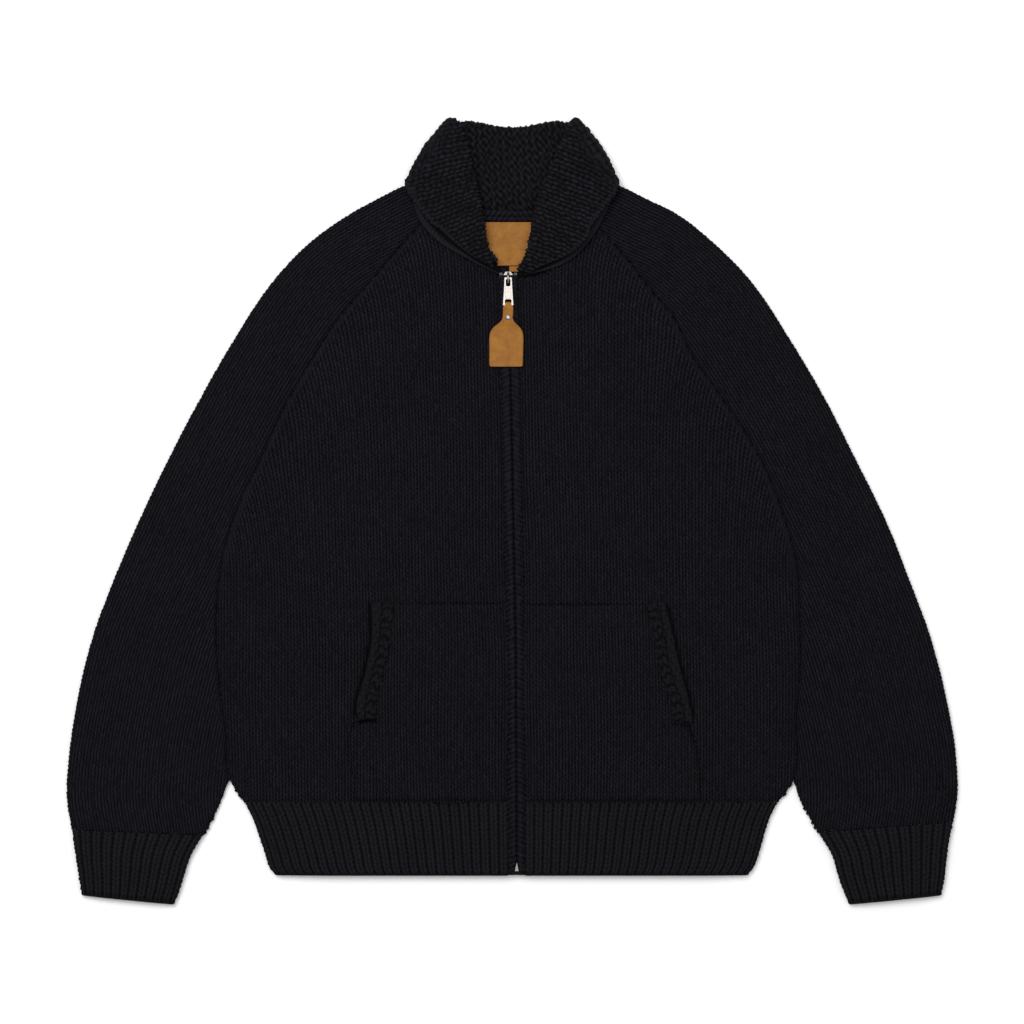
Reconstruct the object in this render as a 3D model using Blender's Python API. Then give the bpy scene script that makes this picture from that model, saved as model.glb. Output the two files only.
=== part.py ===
"""A bulky hand-knit zipped cardigan with a shawl collar, laid flat on its back.

The garment lies with its back panel on the ground, +Y towards the collar and +Z up.  Every size
is in millimetres.  Points are written as (out, up): "out" is the distance from the middle of the
garment towards the side in question and "up" runs from the hem to the collar, so one function
makes both the left and the right piece from that side's own sizes.
"""

import math

import bpy
import numpy as np

MM = 0.001

# ---------------------------------------------------------------- driving sizes
WALL = 4.0  # thickness of the bulky knit
GAP = 0.3  # seams, and pieces that lie on each other
HALF_GAP = GAP / 2
FOLD_Z = WALL + GAP  # where the upper layer meets the lower one at a side fold
AIR_SEAM = 1.5  # air between the layers along the raglan seams
AIR_BODY = 3.2  # air under the middle of the fronts
AIR_SLEEVE = 2.4  # air under the middle of a sleeve
AIR_REACH = 60.0  # distance from an edge over which the air grows

HEM_SEAM = -306.0
HEM_EDGE = -382.0
PLACKET_WIDTH = 10.0
PLACKET_RISE = 1.9
POCKET_WALL = 2.4
WELT_WALL = 4.0
HEM_RIB = 10.0  # pitch of the 1x1 rib at the hem
CUFF_RIB = 11.7  # pitch of the 1x1 rib at the cuffs
RIB_RISE = 1.8

ZIP_TOP = 239.0  # the chain ends here, under the slider
ZIP_LINE = [(-376, 5.0), (-145, 4.0), (75, 0.0), (254, -4.0)]  # up, x of the zip's centre
CHAIN_WIDTH, CHAIN_HEIGHT = 6.0, 2.4
TAPE_WIDTH, TAPE_HEIGHT = 11.0, 0.8

COLLAR_WALL = 4.6
COLLAR_GAP = 1.0  # between the stand and the fall that lies along it

PULL_AXIS = (-4.0, 245.0, 14.7)  # the crossbar of the pull, under the slider's arch
PULL_THICK = 1.8
TAG_THICK = 1.6
RIVET_RADIUS = 2.9

# The edges of each side's pieces: the points (out, up) that a smooth line runs through.
EDGES = {
    "left": {
        "sleeve_outer": [
            (464, -334), (469, -300), (467, -261), (458, -198), (443, -135), (420, -72),
            (393, -9), (363, 54), (330, 117), (294, 180), (252, 243), (214, 283), (171, 314),
            (140, 331), (120, 341),
        ],
        "sleeve_inner": [(324, -340), (313, -320), (304, -299), (298, -280)],
        "body_side": [(282, -306), (297, -282), (302, -230), (308, -183), (312, -121), (310, -80)],
        "raglan": [
            (310, -80), (301, -32), (284, 16), (264, 57), (240, 110), (214, 155), (184, 202),
            (143, 250), (118, 279), (96, 303),
        ],
        "raglan_back": [
            (310, -80), (301, -32), (284, 16), (264, 57), (240, 110), (214, 155), (184, 202),
            (143, 257), (97, 319),
        ],
        "neck_front": [(14.5, 248), (27, 254.5), (52, 267.5), (77, 282), (96, 303)],
        "neck_back": [(0, 310), (29, 311), (65, 314), (97, 319)],
        "hem_side": [(282, -306), (275, -320), (267, -341), (260, -362), (255, -376), (248, -382)],
        "cuff_outer": [(464, -334), (460, -362), (456, -387), (454, -401)],
        "cuff_inner": [(324, -340), (337, -362), (344, -383), (351, -404), (354, -411)],
        "pocket_side": [(168, -306), (167, -292), (174, -238), (168, -222)],
        "welt_seam": [(143, -219), (142, -204), (135, -169), (130, -150), (126, -122), (124, -95)],
        "welt_mouth": [
            (161, -219), (163, -211), (155, -172), (150, -150), (147, -130), (148, -95),
        ],
    },
    "right": {
        "sleeve_outer": [
            (465, -326), (469, -299), (468, -261), (458, -198), (442, -135), (419, -72),
            (394, -9), (363, 54), (331, 117), (294, 180), (252, 243), (213, 283), (174, 314),
            (140, 331), (120, 341),
        ],
        "sleeve_inner": [(321, -337), (312, -320), (301, -299), (297, -281)],
        "body_side": [(280, -306), (296, -283), (300, -217), (304, -156), (304, -95)],
        "raglan": [
            (304, -95), (299, -50), (286, -3), (267, 46), (243, 88), (216, 128), (189, 166),
            (169, 208), (148, 232), (124, 263), (92, 299),
        ],
        "raglan_back": [
            (304, -95), (299, -50), (286, -3), (267, 46), (243, 88), (216, 128), (189, 166),
            (169, 208), (146, 246), (97, 319),
        ],
        "neck_front": [(13, 247), (35, 252), (66, 266), (80, 281), (92, 299)],
        "neck_back": [(0, 310), (29, 311), (65, 314), (97, 319)],
        "hem_side": [(280, -306), (273, -320), (266, -341), (260, -362), (255, -374), (248, -382)],
        "cuff_outer": [(465, -326), (460, -351), (456, -383), (453, -401)],
        "cuff_inner": [(321, -337), (336, -362), (342, -383), (350, -404), (353, -411)],
        "pocket_side": [(201, -306), (200, -292), (193, -238), (187, -224)],
        "welt_seam": [(171, -222), (166, -199), (159, -179), (153, -159), (149, -131), (141, -95)],
        "welt_mouth": [
            (190, -220), (188, -208), (183, -186), (176, -160), (171, -137), (161, -95),
        ],
    },
}

# The collar's edges on each side, from the zip to the side fold, as (out, up).
COLLAR = {
    "left": {
        "seam": [(13.5, 249.6), (27, 255.8), (52, 268.8), (76, 283), (95, 303.5), (105, 329)],
        "roll": [
            (17.5, 262.5), (24.5, 273), (30, 287), (33, 305), (37, 325), (39, 336), (44, 363),
            (50, 386), (58, 403),
        ],
        "free": [
            (20.5, 256.3), (34, 264), (48, 272), (62, 284), (75, 295), (88, 305), (97, 317),
            (110, 336),
        ],
    },
    "right": {
        "seam": [(12.5, 248.9), (35, 253.8), (65, 267.3), (79, 282), (91, 299.5), (105, 329)],
        "roll": [
            (13.5, 260.5), (19.5, 272), (22, 286), (26, 305), (28, 315), (34, 341), (43, 363),
            (52, 386), (58, 403),
        ],
        "free": [
            (18, 250.9), (32, 258), (60, 270), (78, 286), (84, 300), (97, 317), (110, 336),
        ],
    },
}
# The same three edges across the back of the neck, from the side fold to the middle.
COLLAR_BACK = {
    "seam": [(105, 329), (92, 321), (65, 315.5), (29, 311.5), (0, 310.5)],
    "roll": [(58, 403), (34, 401.5), (13, 399), (0, 398)],
    "free": [(96, 346), (80, 338), (50, 332), (0, 331)],
}
SIDE_NORMAL = (0.806, 0.592)  # outwards from the collar's side fold, as (out, up)
SIDE_BULGE = 5.0  # how far that fold bows outwards between the roll and the free edge

WOOL = (0.0085, 0.0082, 0.0110)  # near black with a little blue
# Colour, roughness and metallic value of each finish.
FINISHES = {
    "wool": (WOOL, 0.95, 0.0),
    "rib": (WOOL, 0.95, 0.0),
    "collar": (WOOL, 0.95, 0.0),
    "tape": ((0.0060, 0.0060, 0.0070), 0.85, 0.0),
    "leather": ((0.3140, 0.1390, 0.0310), 0.55, 0.0),
    "metal": ((0.7200, 0.6700, 0.6200), 0.25, 1.0),
}


# ---------------------------------------------------------------- lines and surfaces
def smooth(share):
    """A soft step from 0 to 1."""
    s = np.clip(share, 0.0, 1.0)
    return s * s * (3 - 2 * s)


def dense_line(points, per_segment=24):
    """Many points along a smooth line that passes through the given ones."""
    p = np.array(points, float)
    chord = np.concatenate([[0], np.cumsum(np.linalg.norm(np.diff(p, axis=0), axis=1))])
    if len(p) == 2:
        t = np.linspace(0, 1, per_segment)[:, None]
        return p[0] * (1 - t) + p[1] * t
    slope = np.gradient(p, chord, axis=0)
    found = []
    for a, b, step, m0, m1 in zip(p, p[1:], np.diff(chord), slope, slope[1:]):
        t = np.linspace(0, 1, per_segment, endpoint=False)[:, None]
        found.append(
            (2 * t**3 - 3 * t**2 + 1) * a
            + (t**3 - 2 * t**2 + t) * step * m0
            + (3 * t**2 - 2 * t**3) * b
            + (t**3 - t**2) * step * m1
        )
    return np.concatenate([*found, p[-1:]])


def along(points, count):
    """count points at equal steps along the smooth line through the given ones."""
    line = dense_line(points)
    run = np.concatenate([[0], np.cumsum(np.linalg.norm(np.diff(line, axis=0), axis=1))])
    at = np.linspace(0, run[-1], count)
    return np.stack([np.interp(at, run, line[:, k]) for k in range(line.shape[1])], axis=1)


def out_at(points, up):
    """How far out a line that climbs steadily lies at the given heights."""
    line = dense_line(points)
    order = np.argsort(line[:, 1])
    return np.interp(up, line[order, 1], line[order, 0])


def zip_x(up):
    """x of the zip's centre line."""
    heights, places = zip(*ZIP_LINE)
    return np.interp(up, heights, places)


def hand(side):
    """-1 for the left side and 1 for the right one."""
    return -1.0 if side == "left" else 1.0


def placed(side, out, up, z):
    """Points of one side in the garment's own frame."""
    out, up, z = np.broadcast_arrays(out, up, z)
    return np.stack([hand(side) * out, up, z], axis=-1)


# ---------------------------------------------------------------- solids
def material(name, colour, roughness, metallic):
    made = bpy.data.materials.new(name)
    made.use_nodes = True
    shader = made.node_tree.nodes["Principled BSDF"]
    shader.inputs["Base Color"].default_value = (*colour, 1.0)
    shader.inputs["Roughness"].default_value = roughness
    shader.inputs["Metallic"].default_value = metallic
    return made




def solid(name, points, faces, finish, smooth_angle=40):
    """One named closed solid; its faces are turned outwards."""
    mesh = bpy.data.meshes.new(name)
    mesh.from_pydata([tuple(p * MM) for p in np.asarray(points, float)], [], faces)
    mesh.update()
    mesh.materials.append(material(name, *FINISHES[finish]))
    obj = bpy.data.objects.new(name, mesh)
    bpy.context.scene.collection.objects.link(obj)
    mesh.shade_smooth()
    mesh.set_sharp_from_angle(angle=math.radians(smooth_angle))
    if signed_volume(mesh) < 0:
        mesh.flip_normals()
    return obj


def signed_volume(mesh):
    """Six times the volume inside the faces, below zero where they point inwards."""
    total = 0.0
    for face in mesh.polygons:
        corners = [mesh.vertices[i].co for i in face.vertices]
        for b, c in zip(corners[1:], corners[2:]):
            total += corners[0].dot(b.cross(c))
    return total


def shell(name, outer, inner, finish, ring=False, smooth_angle=40):
    """A wall between two grids of the same size.

    The grids have a row for each section.  A ring's columns close on themselves.
    """
    rows, columns = outer.shape[:2]
    points = np.concatenate([outer.reshape(-1, 3), inner.reshape(-1, 3)])
    far = rows * columns
    wraps = columns if ring else columns - 1
    faces = []
    for i in range(rows - 1):
        for j in range(wraps):
            a, b = i * columns + j, i * columns + (j + 1) % columns
            c, d = b + columns, a + columns
            faces.append((a, b, c, d))
            faces.append((far + d, far + c, far + b, far + a))
    for j in range(wraps):
        a, b = j, (j + 1) % columns
        faces.append((b, a, far + a, far + b))
        a, b = a + (rows - 1) * columns, b + (rows - 1) * columns
        faces.append((a, b, far + b, far + a))
    if not ring:
        for i in range(rows - 1):
            a, d = i * columns, (i + 1) * columns
            faces.append((a, d, far + d, far + a))
            a, d = a + columns - 1, d + columns - 1
            faces.append((d, a, far + a, far + d))
    return solid(name, points, faces, finish, smooth_angle)


def prism(name, outline, low, high, finish, smooth_angle=40):
    """An upright solid on a closed outline of (x, y)."""
    base = [(x, y, low) for x, y in outline]
    top = [(x, y, high) for x, y in outline]
    n = len(outline)
    sides = [(i, (i + 1) % n, n + (i + 1) % n, n + i) for i in range(n)]
    faces = [tuple(range(n - 1, -1, -1)), tuple(range(n, 2 * n)), *sides]
    return solid(name, base + top, faces, finish, smooth_angle)


# ---------------------------------------------------------------- the layers of cloth
# Columns near an edge: how far in the outer point lies, how far it has dropped towards a fold
# (1 = down at the fold), and how far in the inner point lies on a folded and on a cut edge.
EDGE_COLUMNS = [(0.0, 0.9, 4.0, 0.0), (1.2, 0.36, 4.4, 1.2), (4.2, 0.04, 5.8, 4.2)]
SIDE_ROWS = 8  # stations down the side fold
RAGLAN_ROWS = 13  # stations up a raglan seam
NECK_ROWS = 8  # stations along a front's neck edge
UNFOLD_REACH = 60.0  # the side fold opens into the raglan seam over this height


def body_lift(inset, folded):
    """Air under the upper layer of the body, this far in from its outer edge."""
    at_edge = AIR_SEAM * (1 - folded)
    return at_edge + (AIR_BODY - at_edge) * smooth(inset / AIR_REACH)


def edge_columns(folded, lift):
    """Outer inset, outer height, inner inset and inner height beside an upper layer's edge."""
    found = []
    for inset, drop, inner_folded, inner_cut in EDGE_COLUMNS:
        top = FOLD_Z + lift(inset) + WALL
        inner_inset = inner_folded * folded + inner_cut * (1 - folded)
        outer_z = top - drop * folded * (top - FOLD_Z)
        found.append((inset, outer_z, inner_inset, FOLD_Z + lift(inner_inset)))
    return found


def lower_columns(folded):
    """The same beside a lower layer's edge, which is flat underneath but for its rounded fold."""
    found = []
    for inset, drop, inner_folded, inner_cut in EDGE_COLUMNS:
        inner_inset = inner_folded * folded + inner_cut * (1 - folded)
        z = drop * WALL * folded if drop > 0.1 else 0.0
        found.append((inset, z, inner_inset, WALL))
    return found


def stations(side, seam):
    """Points up the body's edge: the side fold, then the raglan seam."""
    edge = EDGES[side]
    below = along(edge["body_side"], SIDE_ROWS)
    return np.concatenate([below, along(edge[seam], RAGLAN_ROWS)[1:]])


def side_at(side, up):
    line = stations(side, "raglan")
    return np.interp(up, line[:, 1], line[:, 0])


def folded_at(side, up):
    """1 along the side fold, 0 along the raglan seam but for a short way up from the underarm."""
    return 1.0 - float(smooth((up - EDGES[side]["raglan"][0][1]) / UNFOLD_REACH))


def front_top(side, out, up):
    """Height of a front panel's outer face."""
    inset = max(float(side_at(side, up)) - out, 0.0)
    return FOLD_Z + WALL + float(body_lift(inset, folded_at(side, up)))


def zip_edge(side, up):
    """Where a front panel ends: beside its placket, or at the neck seam."""
    neck = EDGES[side]["neck_front"]
    if up <= neck[0][1]:
        return hand(side) * float(zip_x(up)) + PLACKET_WIDTH + GAP
    return float(out_at(neck, up)) + HALF_GAP


def front_panel(side):
    neck = along(EDGES[side]["neck_front"], NECK_ROWS)[:-1, 1]
    heights = stations(side, "raglan")[:, 1]
    heights[0] += HALF_GAP
    heights[-1] -= 3.0
    heights = [up for up in heights if min(abs(up - neck)) > 3.0]
    heights = sorted([*heights, *neck])
    outer, inner = [], []
    for up in heights:
        folded = folded_at(side, up)
        edge = float(side_at(side, up)) - HALF_GAP * (1 - folded)
        width = edge - zip_edge(side, up)
        squeeze = min(1.0, width / 30.0)
        columns = edge_columns(folded, lambda inset: float(body_lift(inset, folded)))
        columns = [(a * squeeze, b, c * squeeze, d) for a, b, c, d in columns]
        first = columns[-1][2]
        for share in (0.1, 0.24, 0.41, 0.6, 0.8, 1.0):
            inset = first + (width - first) * share
            z = FOLD_Z + float(body_lift(inset, folded))
            columns.append((inset, z + WALL, inset, z))
        outer.append([(edge - a, up, b) for a, b, _, _ in columns])
        inner.append([(edge - c, up, d) for _, _, c, d in columns])
    return shell_on(side, f"front_{side}", outer, inner, "wool")


def shell_on(side, name, outer, inner, finish):
    outer, inner = np.array(outer, float), np.array(inner, float)
    return shell(name, placed(side, *np.moveaxis(outer, 2, 0)),
                 placed(side, *np.moveaxis(inner, 2, 0)), finish)


def back_panel():
    """The panel that lies on the ground."""
    lines = {side: stations(side, "raglan_back") for side in ("left", "right")}
    count = SIDE_ROWS + RAGLAN_ROWS - 1
    outer, inner = [], []
    for k in range(count):
        ends = {}
        for side, line in lines.items():
            folded = folded_at(side, line[k, 1])
            out = line[k, 0] - HALF_GAP * (1 - folded)
            up = line[k, 1] + (HALF_GAP if k == 0 else 0.0)
            ends[side] = [
                (hand(side) * (out - a), up, b, hand(side) * (out - c), d)
                for a, b, c, d in lower_columns(folded)
            ]
        left, right = ends["left"][-1], ends["right"][-1]
        middle = []
        dip_here = float(smooth((k - count + 5) / 4))
        for share in (0.17, 0.33, 0.5, 0.67, 0.83):
            up = left[1] * (1 - share) + right[1] * share
            x = left[0] * (1 - share) + right[0] * share
            neck_up = float(np.interp(abs(x), *zip(*EDGES["left"]["neck_back"])))
            up += dip_here * (neck_up - lines["left"][-1, 1])
            middle.append((x, up, 0.0, x, WALL))
        row = [*ends["left"], *middle, *reversed(ends["right"])]
        outer.append([(x, up, z) for x, up, z, _, _ in row])
        inner.append([(x, up, z) for _, up, _, x, z in row])
    return shell("back_panel", np.array(outer), np.array(inner), "wool")


def sleeve_lift(from_seam, from_fold, folded):
    at_edge = AIR_SEAM * (1 - folded)
    rise = at_edge + (AIR_SLEEVE - at_edge) * float(smooth(from_seam / AIR_REACH))
    return rise * float(smooth(from_fold / 40.0))


def tube_section(front_seam, back_seam, fold, folded, ribs=0, rib_rise=0.0):
    """One section of a flattened tube, from its seam over the outer fold and back underneath.

    Returns the outer and the inner points as (out, up, z).
    """
    front_seam, back_seam, fold = (np.array(p, float) for p in (front_seam, back_seam, fold))
    width = np.linalg.norm(fold - front_seam)
    way = (fold - front_seam) / width
    under_width = np.linalg.norm(fold - back_seam)
    under_way = (fold - back_seam) / under_width

    def lift(inset):
        return sleeve_lift(inset, width - inset, folded)

    outer, inner = [], []
    for a, b, c, d in edge_columns(folded, lift):
        outer.append((*(front_seam + way * a), b))
        inner.append((*(front_seam + way * c), d))
    if ribs:
        shares = [(r + part) / ribs for r in range(ribs) for part in (0.0, 0.3, 0.7)][1:]
        rises = [rib_rise * (part > 0) for _ in range(ribs) for part in (0, 1, 1)][1:]
    else:
        shares, rises = (0.16, 0.36, 0.58, 0.8), (0.0,) * 4
    for share, rise in zip(shares, rises):
        inset = 6.2 + (width - 12.4) * share
        z = FOLD_Z + lift(inset)
        outer.append((*(front_seam + way * inset), z + WALL + rise))
        inner.append((*(front_seam + way * inset), z))
    middle = (WALL + FOLD_Z) / 2
    turn = [
        (4.2, FOLD_Z + WALL * 0.97, 5.8, FOLD_Z + 0.08),
        (1.2, FOLD_Z + WALL * 0.62, 4.8, FOLD_Z + 0.02),
        (0.0, middle, 4.3, middle),
        (1.2, WALL * 0.36, 4.8, WALL - 0.02),
        (4.2, 0.0, 5.8, WALL - 0.04),
    ]
    for k, (a, b, c, d) in enumerate(turn):
        here = way if k < 3 else under_way
        outer.append((*(fold - here * a), b))
        inner.append((*(fold - here * c), d))
    for share in (0.66, 0.33):
        inset = 6.2 + (under_width - 12.4) * share
        outer.append((*(back_seam + under_way * inset), 0.0))
        inner.append((*(back_seam + under_way * inset), WALL))
    for a, b, c, d in reversed(lower_columns(folded)):
        outer.append((*(back_seam + under_way * a), b))
        inner.append((*(back_seam + under_way * c), d))
    return outer, inner


def sleeve(side):
    edge = EDGES[side]
    below = np.concatenate([along(edge["sleeve_inner"], 3)[:2], along(edge["body_side"], SIDE_ROWS)[1:]])
    below[:, 0] += 2 * GAP
    low_rows = len(below)
    fronts = along(edge["raglan"], RAGLAN_ROWS)
    backs = along(edge["raglan_back"], RAGLAN_ROWS)
    fronts[:, 0] += HALF_GAP
    backs[:, 0] += HALF_GAP
    count = low_rows + RAGLAN_ROWS - 1
    fold = along(edge["sleeve_outer"], 200)
    elbow = int(np.argmin(abs(fold[:, 1] - (fronts[0, 1] + 44))))
    low = along(fold[: elbow + 1 : 6], low_rows)
    high = along(fold[elbow::8], RAGLAN_ROWS)[1:]
    high[-1] = edge["sleeve_outer"][-1]
    folds = np.concatenate([low, high])
    outer, inner = [], []
    for k in range(count):
        if k < low_rows:
            points = tube_section(below[k], below[k], folds[k], 1.0)
        else:
            at = k - low_rows + 1
            points = tube_section(fronts[at], backs[at], folds[k], folded_at(side, fronts[at, 1]))
        outer.append(points[0])
        inner.append(points[1])
    return shell_on(side, f"sleeve_{side}", outer, inner, "wool")


def cuff(side):
    edge = EDGES[side]
    inside, outside = along(edge["cuff_inner"], 3), along(edge["cuff_outer"], 3)
    inside[0, 1] -= GAP
    outside[0, 1] -= GAP
    inside[:, 0] += 0.5
    ribs = round(float(np.linalg.norm(outside[0] - inside[0])) / CUFF_RIB)
    sections = [
        tube_section(a, a, b, 1.0, ribs, RIB_RISE) for a, b in zip(inside, outside)
    ]
    outer, inner = [s[0] for s in sections], [s[1] for s in sections]
    return shell_on(side, f"cuff_{side}", outer, inner, "rib")


def hem_stations(side):
    line = along(EDGES[side]["hem_side"], 4)
    line[0, 1] -= HALF_GAP
    return line[[0, 2, 3]]


def hem_front(side):
    outer, inner = [], []
    ribs = round((EDGES[side]["hem_side"][0][0] - PLACKET_WIDTH) / HEM_RIB)
    for edge, up in hem_stations(side):
        width = edge - (hand(side) * float(zip_x(up)) + PLACKET_WIDTH + GAP)
        columns = edge_columns(1.0, lambda inset: float(body_lift(inset, 1.0)))
        for rib in range(ribs):
            for part, rise in ((0.0, 0.0), (0.3, RIB_RISE), (0.7, RIB_RISE)):
                inset = 6.2 + (width - 6.2) * (rib + part) / ribs
                z = FOLD_Z + float(body_lift(inset, 1.0))
                columns.append((inset, z + WALL + rise, inset, z))
        z = FOLD_Z + AIR_BODY
        columns.append((width, z + WALL, width, z))
        outer.append([(edge - a, up, b) for a, b, _, _ in columns])
        inner.append([(edge - c, up, d) for _, _, c, d in columns])
    return shell_on(side, f"hem_front_{side}", outer, inner, "rib")


def hem_back():
    outer, inner = [], []
    for left, right in zip(hem_stations("left"), hem_stations("right")):
        row = [(-left[0] + a, left[1], b, -left[0] + c, d) for a, b, c, d in lower_columns(1.0)]
        row += [(x, (left[1] + right[1]) / 2, 0.0, x, WALL) for x in (-120.0, 0.0, 120.0)]
        row += [
            (right[0] - a, right[1], b, right[0] - c, d)
            for a, b, c, d in reversed(lower_columns(1.0))
        ]
        outer.append([(x, up, z) for x, up, z, _, _ in row])
        inner.append([(x, up, z) for _, up, _, x, z in row])
    return shell("hem_back", np.array(outer), np.array(inner), "rib")


# ---------------------------------------------------------------- plackets and pockets
SLIDER_FOOT = 238.0  # above this the plackets part to make room for the slider
SLIDER_CLEAR = 5.4
BOX_TOP = -366.0  # below this they part over the zip's box


def placket_inner_edge(up):
    if up > SLIDER_FOOT:
        return SLIDER_CLEAR
    return HALF_GAP + max(0.0, BOX_TOP - up) * 0.21


def placket(side):
    top = EDGES[side]["neck_front"][0][1] - 0.6
    heights = [HEM_EDGE, BOX_TOP, -345, -295, -235, -175, -115, -55, 5, 65, 125, 180,
               SLIDER_FOOT - 1.5, SLIDER_FOOT + 0.5, top]
    low = FOLD_Z + AIR_BODY
    high = low + WALL + PLACKET_RISE
    outer, inner = [], []
    for up in heights:
        middle = hand(side) * float(zip_x(up))
        a, b = placket_inner_edge(up), PLACKET_WIDTH
        profile = [(a, low + 2.5), (a + 1.2, high - 0.9), ((a + b) / 2, high),
                   (b - 1.2, high - 0.9), (b, low + 2.5)]
        outer.append([(middle + out, up, z) for out, z in profile])
        inner.append([(middle + out, up, low) for out in np.linspace(a, b, len(profile))])
    return shell_on(side, f"placket_{side}", outer, inner, "rib")


def on_front(side, name, lines, thickness, crown, finish, shares):
    """A piece lying on a front panel between two lines given by height."""
    outer, inner = [], []
    for up, out_a, out_b in lines:
        row_out, row_in = [], []
        for share in shares:
            out = out_a + (out_b - out_a) * share
            z = front_top(side, out, up) + GAP
            bow = crown * 4 * share * (1 - share)
            row_out.append((out, up, z + thickness + bow))
            row_in.append((out, up, z))
        outer.append(row_out)
        inner.append(row_in)
    return shell_on(side, name, outer, inner, finish)


POCKET_TOP = -95.0
WELT_FOOT = -219.0
WELT_HEIGHTS = [WELT_FOOT, -200.0, -180.0, -160.0, -140.0, -120.0, POCKET_TOP]


def pocket(side):
    edge = EDGES[side]
    lines = []
    heights = [HEM_SEAM + GAP, -292, -265, -240, WELT_FOOT - 4.5, WELT_FOOT - 1.0, *WELT_HEIGHTS]
    for up in heights:
        over_welt = up > WELT_FOOT - 2.0
        outline = edge["welt_seam"] if over_welt else edge["pocket_side"]
        outer_end = float(out_at(outline, up)) - (GAP if over_welt else 0.0)
        inner_end = hand(side) * float(zip_x(up)) + PLACKET_WIDTH + 2 * GAP
        lines.append((up, outer_end, inner_end))
    return on_front(side, f"pocket_{side}", lines, POCKET_WALL, 0.0, "wool",
                    (0.0, 0.1, 0.35, 0.7, 1.0))


def welt(side):
    edge = EDGES[side]
    lines = [
        (up, float(out_at(edge["welt_mouth"], up)), float(out_at(edge["welt_seam"], up)))
        for up in WELT_HEIGHTS
    ]
    return on_front(side, f"pocket_welt_{side}", lines, WELT_WALL - 1.0, 1.2, "rib",
                    (0.0, 0.25, 0.5, 0.75, 1.0))


# ---------------------------------------------------------------- collar and neck
STAND_SHARES = (0.0, 0.09, 0.18, 0.45, 0.75, 1.0)  # rows of the stand, seam to roll
STAND_RISE = (0.0, 0.5, 1.0, 1.0, 1.0, 1.0)  # how much of its height each row has behind
FALL_SHARES = (0.0, 0.3, 0.6, 0.85, 1.0)  # rows of the fall, roll to free edge
ROLL_STEPS = 4
TURN_STEPS = 5
FRONT_STATIONS, BACK_STATIONS = 10, 6
LEVEL_GAP = COLLAR_WALL + COLLAR_GAP
Z_FALL_BACK = COLLAR_WALL / 2
Z_STAND_BACK = Z_FALL_BACK + LEVEL_GAP
Z_STAND_FRONT = Z_STAND_BACK + 8.2
Z_SEAM_ZIP, Z_SEAM_SIDE, Z_ROLL_ZIP = 9.5, 8.5, 10.2
Z_FREE_ZIP, Z_FREE_SIDE = 14.8, 21.5


def mix(a, b, share):
    return np.asarray(a, float) * (1 - share) + np.asarray(b, float) * share


def collar_rows(side):
    """The rows of one half of the collar, from the zip to the middle of the back.

    Each row is a list of (out, up, z).  Rows run from the neck seam up the stand, over the
    roll and down the fall to its free edge.
    """
    table = COLLAR[side]
    front = {key: along(line, FRONT_STATIONS) for key, line in table.items()}
    back = {key: along(line, BACK_STATIONS) for key, line in COLLAR_BACK.items()}
    steps = np.linspace(0, 1, FRONT_STATIONS)
    seam_z = mix(Z_SEAM_ZIP, Z_SEAM_SIDE, steps)
    roll_z = mix(Z_ROLL_ZIP, Z_STAND_FRONT, smooth(steps * 3.2))
    free_z = mix(Z_FREE_ZIP, Z_FREE_SIDE, steps**0.6)
    normal = np.array(SIDE_NORMAL) / np.linalg.norm(SIDE_NORMAL)

    def ring(front_line, front_z, back_line, back_z, bulge):
        """One row: along the front, round the side fold and across the back."""
        points = [(*p, z) for p, z in zip(front_line, front_z)]
        start, stop = front_line[-1], back_line[0]
        radius, middle = (front_z[-1] - back_z) / 2, (front_z[-1] + back_z) / 2
        for step in range(1, TURN_STEPS):
            angle = math.pi * (0.5 - step / TURN_STEPS)
            plan = mix(start, stop, step / TURN_STEPS)
            plan = plan + normal * (radius * math.cos(angle) + bulge * math.cos(angle))
            points.append((*plan, middle + radius * math.sin(angle)))
        points += [(*p, back_z) for p in back_line]
        return np.array(points)

    rows = []
    for share, rise in zip(STAND_SHARES, STAND_RISE):
        eager = mix(share, rise, smooth(steps))
        rows.append(ring(
            mix(front["seam"], front["roll"], share), seam_z + (roll_z - seam_z) * eager,
            mix(back["seam"], back["roll"], share), mix(Z_FALL_BACK, Z_STAND_BACK, rise),
            0.0,
        ))
    falls = [
        ring(
            mix(front["roll"], front["free"], share),
            mix(roll_z + LEVEL_GAP, free_z, share),
            mix(back["roll"], back["free"], share), Z_FALL_BACK,
            SIDE_BULGE * math.sin(math.pi * share),
        )
        for share in FALL_SHARES
    ]
    low, high = rows[-1], falls[0]
    middle, half = (low + high) / 2, (high - low) / 2
    size = np.linalg.norm(half, axis=1)[:, None]
    up_way = np.cross(np.gradient(middle, axis=0), half)
    up_way /= np.linalg.norm(up_way, axis=1)[:, None]
    outwards = middle - (rows[0] + falls[-1]) / 2
    up_way *= np.sign(np.sum(up_way * outwards, axis=1))[:, None]
    for step in range(1, ROLL_STEPS):
        angle = math.pi * step / ROLL_STEPS
        rows.append(middle - half * math.cos(angle) + up_way * size * math.sin(angle))
    return np.array([*rows, *falls])


def wall_around(grid, thickness):
    """Both faces of a wall whose middle is the grid; the first row, in a seam, is cut square."""
    down, across = np.gradient(grid, axis=0), np.gradient(grid, axis=1)
    normal = np.cross(down, across)
    away = grid[len(STAND_SHARES) - 1] - grid[0]
    away[:, 2] = 0.0
    away /= np.linalg.norm(away, axis=1)[:, None]
    normal[0] -= away * np.sum(normal[0] * away, axis=1)[:, None]
    normal /= np.linalg.norm(normal, axis=2)[..., None]
    return grid + normal * thickness / 2, grid - normal * thickness / 2


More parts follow.
